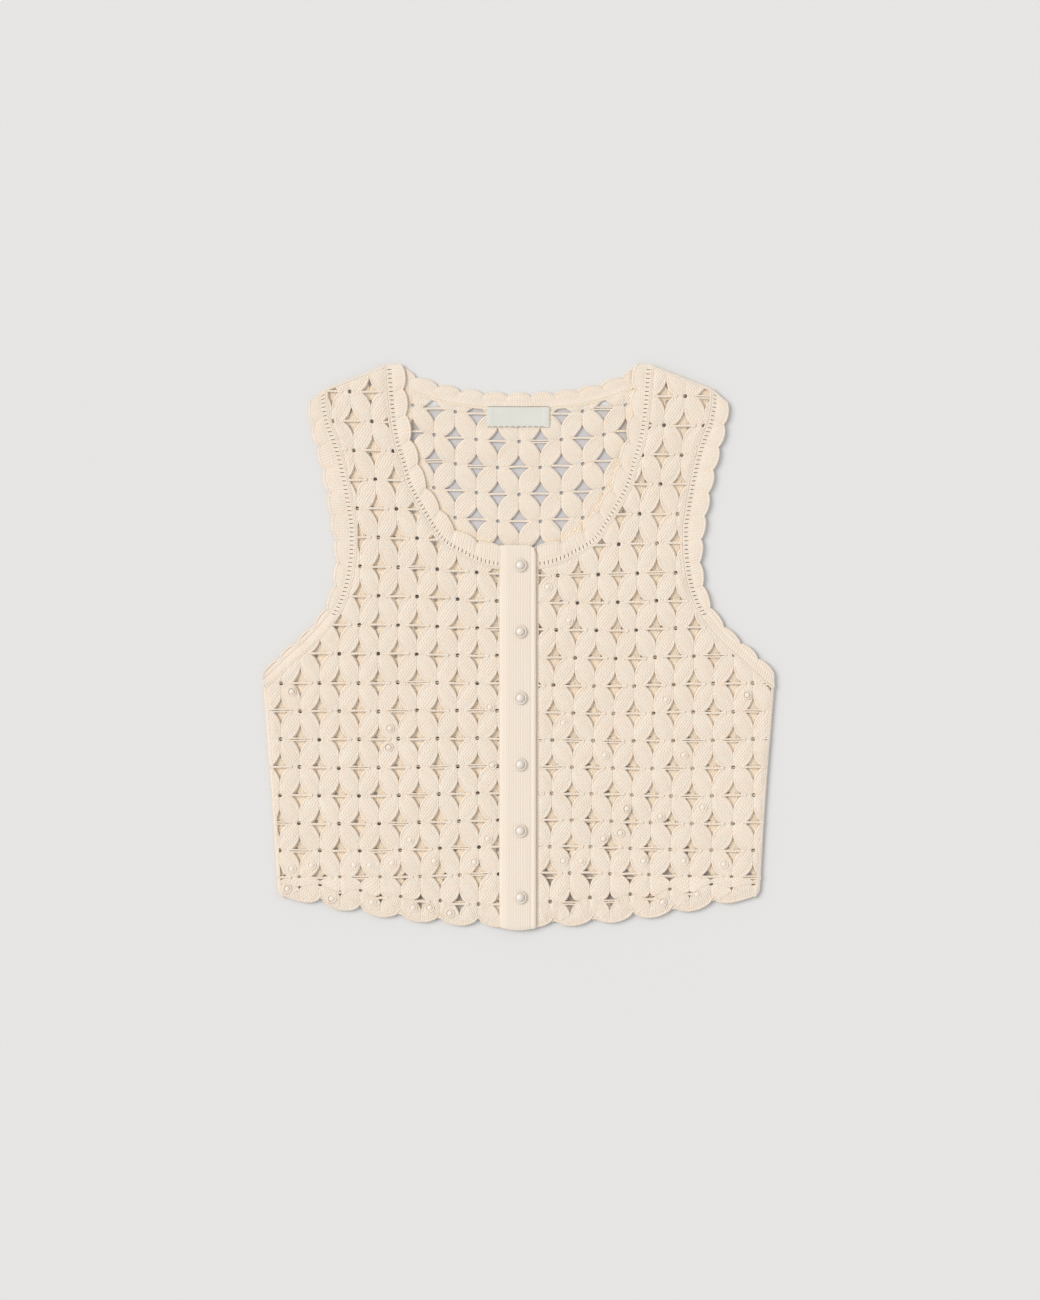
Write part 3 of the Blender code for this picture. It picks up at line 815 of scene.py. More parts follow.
def lace_grid(lattice, outline, fineness, lace):
    """The lattice's petals inside an outline: merged flat points, their heights, faces and yarn places.

    fineness is one of the two petal settings above."""
    flats, rises, stitches, faces = [], [], [], []
    grooves, curve, shares = fineness
    shares = np.array(shares)
    quads = grid_quads(2 * grooves + curve + 1, len(shares))
    count = 0
    loop = outline.lace
    reach = lattice.half_pitch + ROW_PITCH_BELOW
    draw = np.random.default_rng(len(loop))
    for corners, near_star, far_star in lattice.cells():
        fullness = draw.uniform(1 - PETAL_UNEVEN, 1 + PETAL_UNEVEN)
        middle = np.mean(corners, axis=0)[None]
        if not inside(middle, loop)[0] and nearest_on(middle, loop)[0][0] > reach / 2:
            continue
        sized = lattice.half_pitch, ROW_PITCH_BELOW
        stars = near_star, far_star
        spots, rise, stitch = petal(*sized, *stars, lattice.hollow, grooves, curve, shares, lace)
        p, q = spots[:, :, :1], spots[:, :, 1:]
        first, gap, second, far_gap = corners
        flat = first * (1 - p) * (1 - q) + gap * p * (1 - q) + second * p * q + far_gap * (1 - p) * q
        span = crossed(gap - first, far_gap - first)
        roomy = min(1.0, LEAST_ROOM + abs(span) / (sized[0] * sized[1]))
        turned = quads if span > 0 else quads[:, ::-1]
        faces.append(two_triangles(turned) + count)
        flats.append(flat.reshape(-1, 2))
        rises.append(rise.ravel() * fullness * roomy)
        stitches.append(stitch.reshape(-1, 2) * roomy)
        count += flat.shape[0] * flat.shape[1]
    flat, rise, stitch = np.concatenate(flats), np.concatenate(rises), np.concatenate(stitches)
    faces = np.concatenate(faces)
    stitch = stitch[faces]
    flat, rise, faces = merged(flat, rise, faces, WELD)
    within = inside(flat, loop)
    kept = within[faces].any(axis=1)
    faces, stitch = faces[kept], stitch[kept]
    _, places = nearest_on(flat[~within], loop)
    flat[~within] = places
    flat, rise, faces = merged(flat, rise, faces, EDGE_WELD)
    a, b, c = faces.T
    _, index, uses = np.unique(np.sort(faces, axis=1), axis=0, return_inverse=True, return_counts=True)
    kept = (a != b) & (b != c) & (c != a) & (uses[index.ravel()] == 1)
    faces, stitch = faces[kept], stitch[kept]
    used, renumbered = np.unique(faces, return_inverse=True)
    return flat[used], rise[used], renumbered.reshape(-1, 3), stitch


def merged(flat, rise, faces, apart):
    """The same faces with points that share a place made one."""
    keys = np.floor(flat / apart + 0.1237).astype(np.int64)
    _, first, index = np.unique(keys, axis=0, return_index=True, return_inverse=True)
    return flat[first], rise[first], index.ravel()[faces]


def puff(flat):
    """How the laid cloth swells and sinks: a little everywhere, and in the listed troughs."""
    x, y = flat.T
    swell = 0.16 * np.sin(x / 27.0 + 0.8) * np.cos(y / 38.0 - 0.4) + 0.1 * np.sin(x / 61.0 - y / 52.0)
    for start, end, half, depth in TROUGHS:
        line = np.linspace(start, end, 9)
        bend = np.array([end[1] - start[1], start[0] - end[0]]) * 0.06
        line = line + np.sin(np.linspace(0, np.pi, 9))[:, None] * bend
        distance, _ = nearest_on(flat, line, closed=False)
        swell = swell - depth * ridge(distance, 0.0, half)
    return swell


def add_chains(work, outline, low, shade=0.0):
    """The plain chain that finishes a body at its seams and down its sides, and the cord along its hem."""
    base = low + CLOTH
    for kind, section in ((SEAM, SEAM_SECTION), (SIDE, SIDE_SECTION)):
        for stretch in outline.stretches(kind):
            outer = outline.loop[stretch]
            reach = outline.widths[stretch] + CHAIN_LAP
            inner = outer + outline.inward[stretch] * reach[:, None]
            count = max(4, int(lengths_of(outer)[-1] / CHAIN_STITCH))
            share = np.linspace(0, 1, count)
            outer, inner = at_shares(outer, share), at_shares(inner, share)
            knots = CHAIN_KNOTS * np.cos(np.pi * np.arange(count))
            heights = [(q, base + z + (knots if z > 0 else 0.0)) for q, z in section]
            add_skin(work, ribbon_rings(outer, inner, heights, low + 0.04), shade=shade)
    for stretch in outline.stretches(HEM):
        line = outline.loop[stretch] + HEM_CORD_IN * outline.inward[stretch]
        line = np.column_stack([line, np.full(len(line), low + HEM_CORD_UP)])
        add_skin(work, tube_rings(line, *HEM_CORD_HALF, 8), shade=shade)


def add_threads(work, lattice, outline, level, lace, seed, fronts=()):
    """A thread across each gap at its middle, and two in some."""
    draw = np.random.default_rng(seed)
    gaps = list(lattice.gaps())
    # Painted shade on threads that lie under the fronts.
    shades = covered_share(np.array([middle for middle, _ in gaps]), fronts, SHADE_SOFT)
    for (middle, (half_x, _)), shade in zip(gaps, shades):
        chance, sag, tilt, shift = draw.uniform(0, 1), *draw.uniform(-1, 1, 3)
        lifts = (-1.0, 1.0) if chance < TWO_THREADS else (0.0,)
        for lift in lifts:
            t = np.linspace(-1, 1, THREAD_POINTS)
            x = middle[0] + t * (half_x + THREAD_REACH)
            y = middle[1] + lift + 0.3 * shift + 0.5 * sag * (1 - t * t) + 0.3 * tilt * t
            line = np.column_stack([x, y, np.full(THREAD_POINTS, level)])
            within = inside(line[:, :2], outline.loop)
            line, t = line[within], t[within]
            if len(line) < 4 or line[-1][0] - line[0][0] < half_x * 0.5:
                continue
            thick = lace.thread * (TWO_THICK if len(lifts) > 1 else 1.0) / 2
            thick = thick * (1.0 + 0.5 * np.abs(t) ** 3)
            add_skin(work, tube_rings(line, thick, 0.5 * thick, THREAD_SIDES), shade=shade)


def hem_relief(distance, flat):
    """The fans of the hem: an arc inside the cord, the valley between, and faint ribs across them."""
    return ridges(distance, HEM_RIDGES) + 0.1 * waves(flat[:, 0], RIB_PITCH) * ridge(distance, 7.5, 3.0)


def underside(low, height):
    """A cloth's lower face: the relief of its upper one, fainter and turned over."""
    return low + np.clip(0.5 - 0.6 * height, 0.0, 0.8)


def lace_body(lattice, outline, low, fineness, lace, space, swell):
    """One body's lace as flat points, tops, undersides, faces and yarn places.

    space is how much of its relief each place has room for, and swell how the laid cloth rises and sinks."""
    flat, rise, faces, stitch = lace_grid(lattice, outline, fineness, lace)
    to_lace, _ = nearest_on(flat, outline.lace)
    hem = np.concatenate([outline.loop[stretch] for stretch in outline.stretches(HEM)])
    to_hem, _ = nearest_on(flat, hem, closed=False)
    by_hem = 1 - smoothstep(3.0, 9.0, to_hem)
    full = smoothstep(0.2, 2.6, np.where(by_hem > 0.02, 9.0, to_lace))
    space = space(flat)
    height = (rise * (1 - by_hem) + hem_relief(to_hem, flat) * by_hem) * full
    top = low + CLOTH + height * np.maximum(space, 0.15)
    top = top + swell(flat) * space * smoothstep(0.0, 12.0, to_lace)
    return flat, np.maximum(top, low + LEAST_THICK), underside(low, height), faces, stitch


# ------------------------------------------------------------------ finishes


class Number:
    """A socket that carries one number. Arithmetic on it adds Math nodes."""

    def __init__(self, tree, socket):
        self.tree, self.socket = tree, socket

    def math(self, operation, *others, first=None):
        """This number and others through an operation. A plain number given as first goes before them."""
        node = self.tree.nodes.new("ShaderNodeMath")
        node.operation = operation
        for slot, value in zip(node.inputs, (self, *others) if first is None else (first, self)):
            if isinstance(value, Number):
                self.tree.links.new(value.socket, slot)
            else:
                slot.default_value = value
        return Number(self.tree, node.outputs[0])

    def __add__(self, other):
        return self.math("ADD", other)

    def __sub__(self, other):
        return self.math("SUBTRACT", other)

    def __mul__(self, other):
        return self.math("MULTIPLY", other)

    def __truediv__(self, other):
        return self.math("DIVIDE", other)

    def __pow__(self, other):
        return self.math("POWER", other)

    def __rsub__(self, other):
        return self.math("SUBTRACT", first=other)

    __radd__ = __add__

    def clamped(self):
        return self.math("MAXIMUM", 0.0).math("MINIMUM", 1.0)

    def spread(self, gain, middle=0.5):
        """Noise with its swing widened, and a new middle, kept between none and one."""
        return ((self - 0.5) * gain + middle).clamped()

    def wave(self):
        return (self * (2 * math.pi)).math("SINE") * 0.5 + 0.5


class Finish:
    """A material in the making."""

    def __init__(self, name, roughness, sheen=0.0, coat=0.0):
        self.material = bpy.data.materials.new(name)
        self.material.use_nodes = True
        self.tree = self.material.node_tree
        self.shader = self.tree.nodes["Principled BSDF"]
        self.shader.inputs["Roughness"].default_value = roughness
        self.shader.inputs["Sheen Weight"].default_value = sheen
        self.shader.inputs["Sheen Roughness"].default_value = 0.6
        self.shader.inputs["Coat Weight"].default_value = coat

    def node(self, kind, settings=(), output=0, **inputs):
        """The output of a new node, with its settings made first and its sockets set or linked.

        A socket is given by its name, or by its number after an underscore."""
        node = self.tree.nodes.new("ShaderNode" + kind)
        for name, value in dict(settings).items():
            setattr(node, name, value)
        for name, value in inputs.items():
            place = int(name[1:]) if name[1:].isdigit() else name.replace("_", " ")
            socket = node.inputs[place]
            if isinstance(value, (Number, bpy.types.NodeSocket)):
                self.tree.links.new(value.socket if isinstance(value, Number) else value, socket)
            else:
                socket.default_value = value
        return node.outputs[output]

    def number(self, socket):
        return Number(self.tree, socket)

    def parts(self, vector):
        """A vector's first two numbers."""
        outputs = self.node("SeparateXYZ", Vector=vector).node.outputs
        return self.number(outputs[0]), self.number(outputs[1])

    def map_parts(self, name):
        """The two numbers of one of the mesh's maps."""
        return self.parts(self.node("UVMap", {"uv_map": name}))

    def place(self):
        return self.node("TexCoord").node.outputs["Object"]

    def noise(self, scale, detail=2.0, roughness=0.6):
        settings = {"Scale": scale, "Detail": detail, "Roughness": roughness}
        return self.number(self.node("TexNoise", output="Fac", Vector=self.place(), **settings))

    def blend(self, factor, first, second):
        """A colour between two, by a number."""
        first, second = (
            value if isinstance(value, bpy.types.NodeSocket) else (*value, 1.0) for value in (first, second)
        )
        return self.node("Mix", {"data_type": "RGBA"}, output=2, _0=factor, _6=first, _7=second)

    def done(self, colour, rough, height=None, depth=0.0):
        """The material with these on its shader. depth is the relief in mm where height grows by one."""
        self.tree.links.new(colour, self.shader.inputs["Base Color"])
        self.tree.links.new(rough.socket, self.shader.inputs["Roughness"])
        if height is not None:
            normal = self.node("Bump", Strength=1.0, Distance=depth * MM, Height=height)
            self.tree.links.new(normal, self.shader.inputs["Normal"])
        return self.material


def toned(colour, *shares):
    """A colour with its red, green and blue scaled, each by its own share or all by one."""
    return tuple(c * share for c, share in zip(colour, shares * (3 // len(shares))))


def yarn_loops(along, across, loop, post, slant, power):
    """(how high a place lies on its loop, and on its row of loops), from its place in the yarn."""
    lane = (across / post).math("FRACT") - 0.5
    loops = (along / loop + lane.math("ABSOLUTE") * slant).wave()
    return loops, (lane * math.pi).math("COSINE") ** power


def crochet_finish(name, colour, shade, covered, post, loop, depth):
    """Yarn in leaning loops, post millimetres wide and loop long.

    shade is the painted shade in its hollows, also the tone its random mottling drifts toward, and covered
    the painted shade where another piece lies over it."""
    made = Finish(name, 0.86, sheen=0.12)
    along, across = made.map_parts("stitch")
    cover, _ = made.map_parts("shade")
    drift = made.noise(110.0, 3.0) - 0.5
    loops, crest = yarn_loops(along + drift * 4.5, across + drift * 3.0, loop, post, 1.3, 0.7)
    fibre = made.noise(2400.0)
    lumps = made.noise(420.0, roughness=0.55)
    height = crest * (loops * 0.6 + 0.4) * 0.75 + lumps * 0.35 + fibre * 0.08
    hollow = (1.0 - crest * (loops * 0.7 + 0.3)).clamped()
    blush = made.noise(150.0)
    tone = made.noise(38.0, 3.0, 0.55)
    warm, cool = toned(colour, 1.0, 0.945, 0.905), toned(colour, 0.955, 1.0, 1.02)
    yarn = made.blend(blush.spread(2.4), warm, cool)
    yarn = made.blend(tone.spread(1.6, 0.32) * 0.5, yarn, shade)
    # Painted shade in the hollows between the loops.
    yarn = made.blend(hollow * 0.34, yarn, shade)
    # Painted shade where another piece lies over it, by the shade map.
    return made.done(made.blend(cover, yarn, covered), fibre * 0.12 + 0.8, height, depth)


def cotton(name, colours, post, loop, depth):
    """Crochet cotton in the cardigan's colours, with painted shade in its hollows and where something covers
    it.
    """
    return crochet_finish(name, colours.yarn, colours.hollow, colours.inner, post, loop, depth)


def ribbed_finish(name, colour, shade, rib, loop, depth):
    """Fine knitted ribs that run along, each a column of small loops."""
    made = Finish(name, 0.84, sheen=0.12)
    along, across = made.map_parts("stitch")
    drift = made.noise(120.0, roughness=0.5) - 0.5
    loops, crest = yarn_loops(along + drift * 1.2, across + drift * 0.5, loop, rib, 1.2, 0.8)
    fibre = made.noise(2600.0)
    height = crest * (loops * 0.35 + 0.65) + fibre * 0.1
    blush = made.noise(70.0)
    yarn = made.blend(blush.spread(2.2), toned(colour, 1.0, 0.97, 0.945), toned(colour, 0.98, 1.0, 1.0))
    # Painted shade between the ribs' loops.
    yarn = made.blend((1.0 - crest * (loops * 0.4 + 0.6)).clamped() * 0.35, yarn, shade)
    return made.done(yarn, fibre * 0.1 + 0.78, height, depth)


def pearl_finish(name, colour, glow, dull=0.27):
    """Pearl: a clear coat over a body whose colour drifts between two tones, with painted shade deepening it
    where its surface turns away from the view.
    """
    made = Finish(name, dull, coat=0.5 - dull)
    drift = made.noise(260.0)
    made.shader.inputs["Coat Roughness"].default_value = 0.08
    # Painted shade toward the pearl's rim as seen.
    rim_shade = made.number(made.node("LayerWeight", output=1, Blend=0.35))
    body = made.blend(drift.spread(2.0), colour, glow)
    return made.done(made.blend(rim_shade * 0.6, body, toned(colour, 0.78)), drift * 0.12 + dull)


def saucer_finish(name, colour):
    """The button's rim: cast resin with a faint grain of turning marks."""
    made = Finish(name, 0.35, coat=0.25)
    grain = made.noise(700.0, 3.0)
    cloud = made.noise(160.0, roughness=0.5)
    resin = made.blend(cloud.spread(2.0, 0.4), colour, toned(colour, 0.86))
    return made.done(resin, grain * 0.15 + 0.28, grain, 0.06)


def label_finish(name, colour):
    """Satin label cloth: fine weft over warp, with a soft sheen."""
    made = Finish(name, 0.5, sheen=0.2)
    along, across = made.map_parts("stitch")
    weave = (across / 0.42).wave() * 0.65 + (along / 0.34).wave() * 0.35
    cloud = made.noise(60.0, roughness=0.5)
    worn = ((cloud - 0.5) + 0.3 + weave * 0.25).clamped()
    return made.done(made.blend(worn, colour, toned(colour, 0.9)), weave * 0.15 + 0.45, weave, 0.08)


def floor_finish(name, colour, under, window):
    """Matt painted board, deeper in tone under the cloth: a painted shadow."""
    made = Finish(name, 0.9)
    grain = made.noise(900.0, 3.0)
    cloud = made.noise(2.0, roughness=0.5)
    board = made.blend(cloud.spread(1.5), colour, toned(colour, 0.985))
    x, y = made.parts(made.place())
    # Painted shadow: the board takes a darker tone inside the ovals under two layers of cloth, and another
    # under the back alone.
    for ovals, tone in ((SHADOW_UNDER_CLOTH, under), (SHADOW_UNDER_WINDOW, window)):
        kept = 0.0
        for middle, wide, long in ovals:
            away = (x / (wide * MM)) ** 4.0 + ((y - middle * MM) / (long * MM)) ** 4.0
            kept = kept + ((1.0 - away) * 5.0).clamped()
        board = made.blend(kept.clamped(), board, tone)
    return made.done(board, grain * 0.1 + 0.85, grain, 0.03)


# ------------------------------------------------------------------ settings


def colour_property(label, text, default):
    return FloatVectorProperty(
        name=label, description=text, subtype="COLOR", size=3, min=0, max=1, default=default
    )


def number_property(label, text, default, most=None, least=0.0, **more):
    limits = {"min": least} if most is None else {"min": least, "max": most}
    return FloatProperty(name=label, description=text, default=default, **limits, **more)


class CardiganColours(bpy.types.PropertyGroup):
    yarn: colour_property("Yarn", "Colour of the lace and its bands", (0.925, 0.81, 0.69))
    # Painted shade between the yarn's loops and ribs; the yarn's random mottling drifts toward it too.
    hollow: colour_property("Hollow", "Colour between the loops of the yarn", (0.79, 0.66, 0.52))
    # Painted shade on the back where the fronts lie over it.
    inner: colour_property("Inner side", "Colour of the back where the fronts cover it", (0.92, 0.775, 0.60))
    rib: colour_property("Front band", "Colour of the ribbed front bands", (0.86, 0.755, 0.65))
    pearl: colour_property("Pearl", "Colour of the buttons' pearls", (0.80, 0.73, 0.645))
    glow: colour_property("Pearl glow", "Second colour in the buttons' pearls", (0.83, 0.735, 0.66))
    bead: colour_property("Small pearl", "Colour of the small pearls", (0.82, 0.75, 0.66))
    bead_glow: colour_property("Small pearl glow", "Second colour in the small pearls", (0.84, 0.74, 0.65))
    saucer: colour_property("Saucer", "Colour of the buttons' rims", (0.80, 0.72, 0.62))
    label: colour_property("Label", "Colour of the neck label", (0.76, 0.75, 0.68))
    thread: colour_property("Label thread", "Colour of the stitches round the label", (0.46, 0.42, 0.35))


class LaceSettings(bpy.types.PropertyGroup):
    """Heights in millimetres over the cloth."""

    pad_rise: number_property("Petal rise", "Height of a petal's pad, mm", 0.75, 2.0)
    cord_rise: number_property("Cord rise", "Height of a petal's edge cord, mm", 0.5, 2.0)
    ring_rise: number_property("Ring rise", "Height of the ring round a flower's eye, mm", 0.3, 2.0)
    groove: number_property("Groove", "Depth of the groove between petals, mm", 0.36, 1.2)
    thread: number_property("Thread", "Thickness of the thread across a gap, mm", 2.0, 4.0, 0.4)


class ButtonSettings(bpy.types.PropertyGroup):
    radius: number_property("Radius", "Radius of a button, mm", 5.9, 12.0, 2.0)
    pearl_radius: number_property("Pearl radius", "Radius of the pearl in it, mm", 3.7, 8.0, 1.0)


class StageSettings(bpy.types.PropertyGroup):
    floor: colour_property("Floor", "Colour of the floor", (0.742, 0.737, 0.727))
    # Painted shadow on the floor under two layers of cloth, and under the back alone.
    under: colour_property("Under", "Colour of the floor under two layers", (0.56, 0.50, 0.44))
    window: colour_property("Window", "Colour of the floor under the back alone", (0.60, 0.58, 0.585))
    key: number_property("Key light", "Strength of the light from the upper left", 1.81)
    softness: number_property("Softness", "How wide the key light is, degrees", 36.0)
    fill: number_property("Fill", "Strength of the even light from all round", 0.68)
    height: number_property("Camera height", "Height of the camera", 2.76, least=0.5, unit="LENGTH")
    lens: number_property("Lens", "Focal length, mm", 85.0, least=20.0)


# ------------------------------------------------------------------ bands


def neck_lines(side):
    seam, lap = front_neck()
    edge = shifted(seam, -(FRONT_NECK_BAND - NECK_SCALLOP))
    near = shifted(seam, lap - SEWN / 2)
    for line in (near, edge):
        line[-1][0] = FRONT_EDGE
    return mirrored(near, side), mirrored(edge, side)


def back_neck_lines():
    half = smooth_line(BACK_NECK_SEAM, LINE_STEP)
    seam = np.concatenate([half, mirrored(half[::-1][1:], -1)])
    return shifted(seam, BACK_LADDER_LAP - SEWN / 2), shifted(seam, -(BACK_NECK_BAND - NECK_SCALLOP))


def armhole_lines(side):
    edge = shifted(smooth_line(ARMHOLE_EDGE, LINE_STEP), -ARMHOLE_SCALLOP)
    return mirrored(armhole_seam(SEWN / 2), side), mirrored(edge, side)


def band_polygon(seam, edge, toward, depth):
    tips = shifted(edge, toward * depth)
    return np.concatenate([seam, tips[::-1]])


def all_free(flat):
    return np.ones(len(flat))


def scalloped_band(seam, edge, toward, depth, low, slits=1.0, ribs_from=1.0, space=all_free, relief=1.0):
    """A band from its seam outward: a ladder of level posts with slits between, fans and an edge cord.

    slits is the share of the length, from its start, that has open slits, and ribs_from where ribs along the
    band take the place of the fans. space is how much room the relief has, and relief how clearly fans stand
    apart."""
    length = lengths_of(seam)[-1]
    scallops = round(lengths_of(edge)[-1] / SCALLOP_PITCH)
    posts = round(length / POST_PITCH)
    steps = len(POST_COLUMNS)
    share = np.append(np.add.outer(np.arange(posts), POST_COLUMNS).ravel(), posts) / posts
    columns = len(share)
    run = smoothstep(ribs_from, ribs_from + RIBS_GROW, share)
    near, far = BAND_NEAR, BAND_FAR
    ahead = unit(np.gradient(at_shares(seam, share), axis=0))
    across = unit(at_shares(edge, share) - at_shares(seam, share))
    steep = smoothstep(0.5, 0.9, np.abs(ahead[:, 1]))
    level = -across[:, 1] / np.where(steep > 0, ahead[:, 1], 1.0)
    lean = steep * np.clip(level, -MOST_LEAN, MOST_LEAN)
    lean = lean * np.minimum(1.0, np.minimum(share, 1 - share) * length / 14.0)
    tips_line = shifted(edge, toward * depth)
    flats, heights, stitches = [], [], []
    for number in range(len(near) + BAND_BETWEEN + len(far)):
        moved = share
        for _ in range(2):
            base, notch = at_shares(seam, moved), at_shares(edge, moved)
            place = moved * scallops
            t = np.where(moved >= 1, 1.0, place - np.floor(place))
            full = bulge(t)
            tips = notch + (at_shares(tips_line, moved) - notch) * full[:, None]
            wide = np.linalg.norm(tips - base, axis=1)
            if number < len(near):
                q = np.minimum(near[number], wide * 0.5)
            elif number < len(near) + BAND_BETWEEN:
                gone = (number - len(near) + 1) / (BAND_BETWEEN + 1)
                q = near[-1] + (wide - far[0] - near[-1]) * gone
            else:
                q = wide - far[number - len(near) - BAND_BETWEEN]
            moved = np.clip(share + lean * q / length, 0, 1)
        flat = base + (tips - base) * (q / wide)[:, None]
        out = wide - q
        fan = smoothstep(near[-1], near[-1] + 2.5, q) * smoothstep(0.0, 2.0, out)
        ribs = waves(share * posts - POST_COLUMNS[1] / 2, 1.0)
        dip = ridge(np.minimum(t, 1 - t) * SCALLOP_PITCH, 0.0, 1.3) * fan
        height = (0.5 * full - 0.4 * relief * dip - 0.1 * relief * ribs) * fan * (1 - run)
        height = height + run * 0.26 * waves(q, 4.2) * smoothstep(1.0, 2.5, q)
        height = height + 0.16 * ridge(q, 0.8, 0.5) - 0.16 * ribs * ridge(q, 3.0, 1.6) * (1 - run)
        flats.append(flat)
        heights.append(height + ridges(out, BAND_RIDGES))
        stitches.append(np.column_stack([q, moved * length]))
    flat, height, stitch = (np.concatenate(parts) for parts in (flats, heights, stitches))
    quads = grid_quads(len(flats), columns)
    row, column = np.divmod(quads[:, 0], columns)
    slit = (row == SLIT_ROW) & (column % steps == 0) & (column > 0) & (share[column] < slits)
    quads = quads[~slit]
    spots = flat[quads]
    if crossed(spots[:, 1] - spots[:, 0], spots[:, 3] - spots[:, 0]).sum() < 0:
        quads = quads[:, ::-1]
    faces = two_triangles(quads)
    space = space(flat)
    top = low + CLOTH + height * space - COVERED_BAND_SINK * (space < 0.5)
    work = Work()
    add_sheet(work, flat, np.maximum(top, low + 1.0), underside(low, height), faces, stitch[faces])
    return work


# ------------------------------------------------------------------ operators


def front_cover():
    """Polygons of what covers the back: the fronts and their bands."""
    found = []
    for _, side, first, pitch, _ in FRONTS:
        found.append(front_outline(side, first, pitch).loop)
        found.append(band_polygon(*neck_lines(side), -side, NECK_SCALLOP))
        found.append(band_polygon(*armhole_lines(side), side, ARMHOLE_SCALLOP))
    return found


def label_polygon(grow=0.0):
    corners = np.array([(-1, -1), (1, -1), (1, 1), (-1, 1)])
    return np.array(LABEL_MIDDLE) + corners * (np.array(LABEL_SIZE) / 2 + grow)


def covered_share(flat, polygons, soft):
    """One under the polygons, falling to none this far outside them."""
    covered = np.zeros(len(flat))
    for polygon in polygons:
        within = inside(flat, polygon)
        distance, _ = nearest_on(flat, polygon)
        covered = np.maximum(covered, np.where(within, 1.0, 1 - smoothstep(0.0, soft, distance)))
    return covered


def net_area(outline):
    return abs(signed_area(outline.loop)) * MM * MM


class PieceOperator:
    bl_options = {"REGISTER"}

    def execute(self, context):
        self.make(context.scene)
        return {"FINISHED"}


class CARDIGAN_OT_back_body(PieceOperator, bpy.types.Operator):
    """Make the back body, flower lace with its hem"""

    bl_idname = "cardigan.back_body"
    bl_label = "Back Body"

    def make(self, scene):
        colours, lace = scene.cardigan_colours, scene.cardigan_lace
        outline, lattice = back_outline(), back_lattice()
        fronts = front_cover()
        work = Work()
        flat, top, under, faces, stitch = lace_body(
            lattice, outline, BACK_LOW, BACK_PETAL, lace, all_free, lambda flat: 0.0
        )
        covered = covered_share(flat, [*fronts, label_polygon(1.0)], SINK_SOFT)
        most = BACK_LOW + 2.0 + 1.5 * (1 - covered)
        top = np.where(covered > 0, np.minimum(top - COVERED_SINK * covered, most), top)
        # Painted shade on the back under the fronts.
        shade = covered_share(flat, fronts, SHADE_SOFT)
        add_sheet(work, flat, top, under, faces, stitch, shade)
        # The back's chains take painted shade too.
        add_chains(work, outline, BACK_LOW - COVERED_CHAIN_SINK, shade=0.8)
        add_threads(work, lattice, outline, BACK_LOW + BACK_THREADS, lace, 21, fronts)
        cloth = cotton("back_lace_yarn", colours, 2.3, 2.7, 0.55)
        made = work.piece("back_body", cloth, "lace", ["back_panel"])
        net_area(outline)


class CARDIGAN_OT_front_bodies(PieceOperator, bpy.types.Operator):
    """Make the two front bodies, flower lace with their hems"""

    bl_idname = "cardigan.front_bodies"
    bl_label = "Front Bodies"

    def make(self, scene):
        lace = scene.cardigan_lace
        cloth = cotton("front_lace_yarn", scene.cardigan_colours, 2.3, 2.7, 0.55)

        def beside_lap(flat):
            beyond = np.maximum(LAP_EDGES[0] - flat[:, 0], flat[:, 0] - LAP_EDGES[1])
            return smoothstep(0.6, 4.0, beyond)

        for prefix, side, first, pitch, seed in FRONTS:
            outline = front_outline(side, first, pitch)
            lattice = front_lattice(prefix, side, first, pitch, seed)
            work = Work()
            add_sheet(work, *lace_body(lattice, outline, FRONT_LOW, FRONT_PETAL, lace, beside_lap, puff))
            add_chains(work, outline, FRONT_LOW)
            add_threads(work, lattice, outline, FRONT_LOW + FRONT_THREADS, lace, 11 + seed)
            made = work.piece(f"{prefix}_front_body", cloth, "lace", [f"{prefix}_front_panel"])
            net_area(outline)


class CARDIGAN_OT_bands(PieceOperator, bpy.types.Operator):
    """Make the scalloped bands of the neck and the armholes"""

    bl_idname = "cardigan.bands"
    bl_label = "Neck and Armhole Bands"

    def make(self, scene):
        cloth = cotton("band_yarn", scene.cardigan_colours, 2.5, 2.4, 0.45)
        fronts = front_cover()

        def under_fronts(flat):
            return 1 - covered_share(flat, fronts, SHADE_SOFT)

        for prefix, side, *_ in FRONTS:
            made_as = -side, NECK_SCALLOP, FRONT_LOW
            self.band(f"{prefix}_front_neck", cloth, neck_lines(side), ["back_body"], *made_as)
            for layer, low, slits, space, rests_on in (
                ("front", FRONT_LOW, ARMHOLE_SLITS, all_free, [f"{prefix}_back_armhole_edging"]),
                ("back", BACK_LOW, 0.0, under_fronts, ["floor"]),
            ):
                made_as = side, ARMHOLE_SCALLOP, low, slits, ARMHOLE_RIBS, space, 0.4
                self.band(f"{prefix}_{layer}_armhole", cloth, armhole_lines(side), rests_on, *made_as)
        made_as = -1, NECK_SCALLOP, BACK_LOW, 0.0, 1.0, under_fronts, 0.7
        self.band("back_neck", cloth, back_neck_lines(), ["floor"], *made_as)

    @staticmethod
    def band(name, cloth, lines, rests_on, *made_as):
        seam, edge = lines
        made = scalloped_band(seam, edge, *made_as).piece(f"{name}_edging", cloth, "lace", [f"{name}_band"])
        middle = (lengths_of(seam)[-1] + lengths_of(edge)[-1]) / 2
        half = np.array([0.5])
        across = float(np.linalg.norm(at_shares(seam, half) - at_shares(edge, half)))


def lap_strip(left, right, low, foot, top, profile, columns, rows):
    """A front band as a grid. foot and top are its ends, and profile its height over low at each place."""
    across = np.linspace(left, right, columns)
    low_ends, high_ends = foot(across), top(across)
    t = np.linspace(0, 1, rows)
    y = low_ends[None] + (high_ends - low_ends)[None] * t[:, None]
    flat = np.stack([np.broadcast_to(across, y.shape), y], axis=-1).reshape(-1, 2)
    ends = np.minimum(y - low_ends[None], high_ends[None] - y).ravel()
    height = profile(flat) + ridges(ends, STRIP_ENDS)
    work = Work()
    add_grid(work, rows, columns, flat, np.maximum(height, 0.3), low, flat[:, ::-1])
    return work


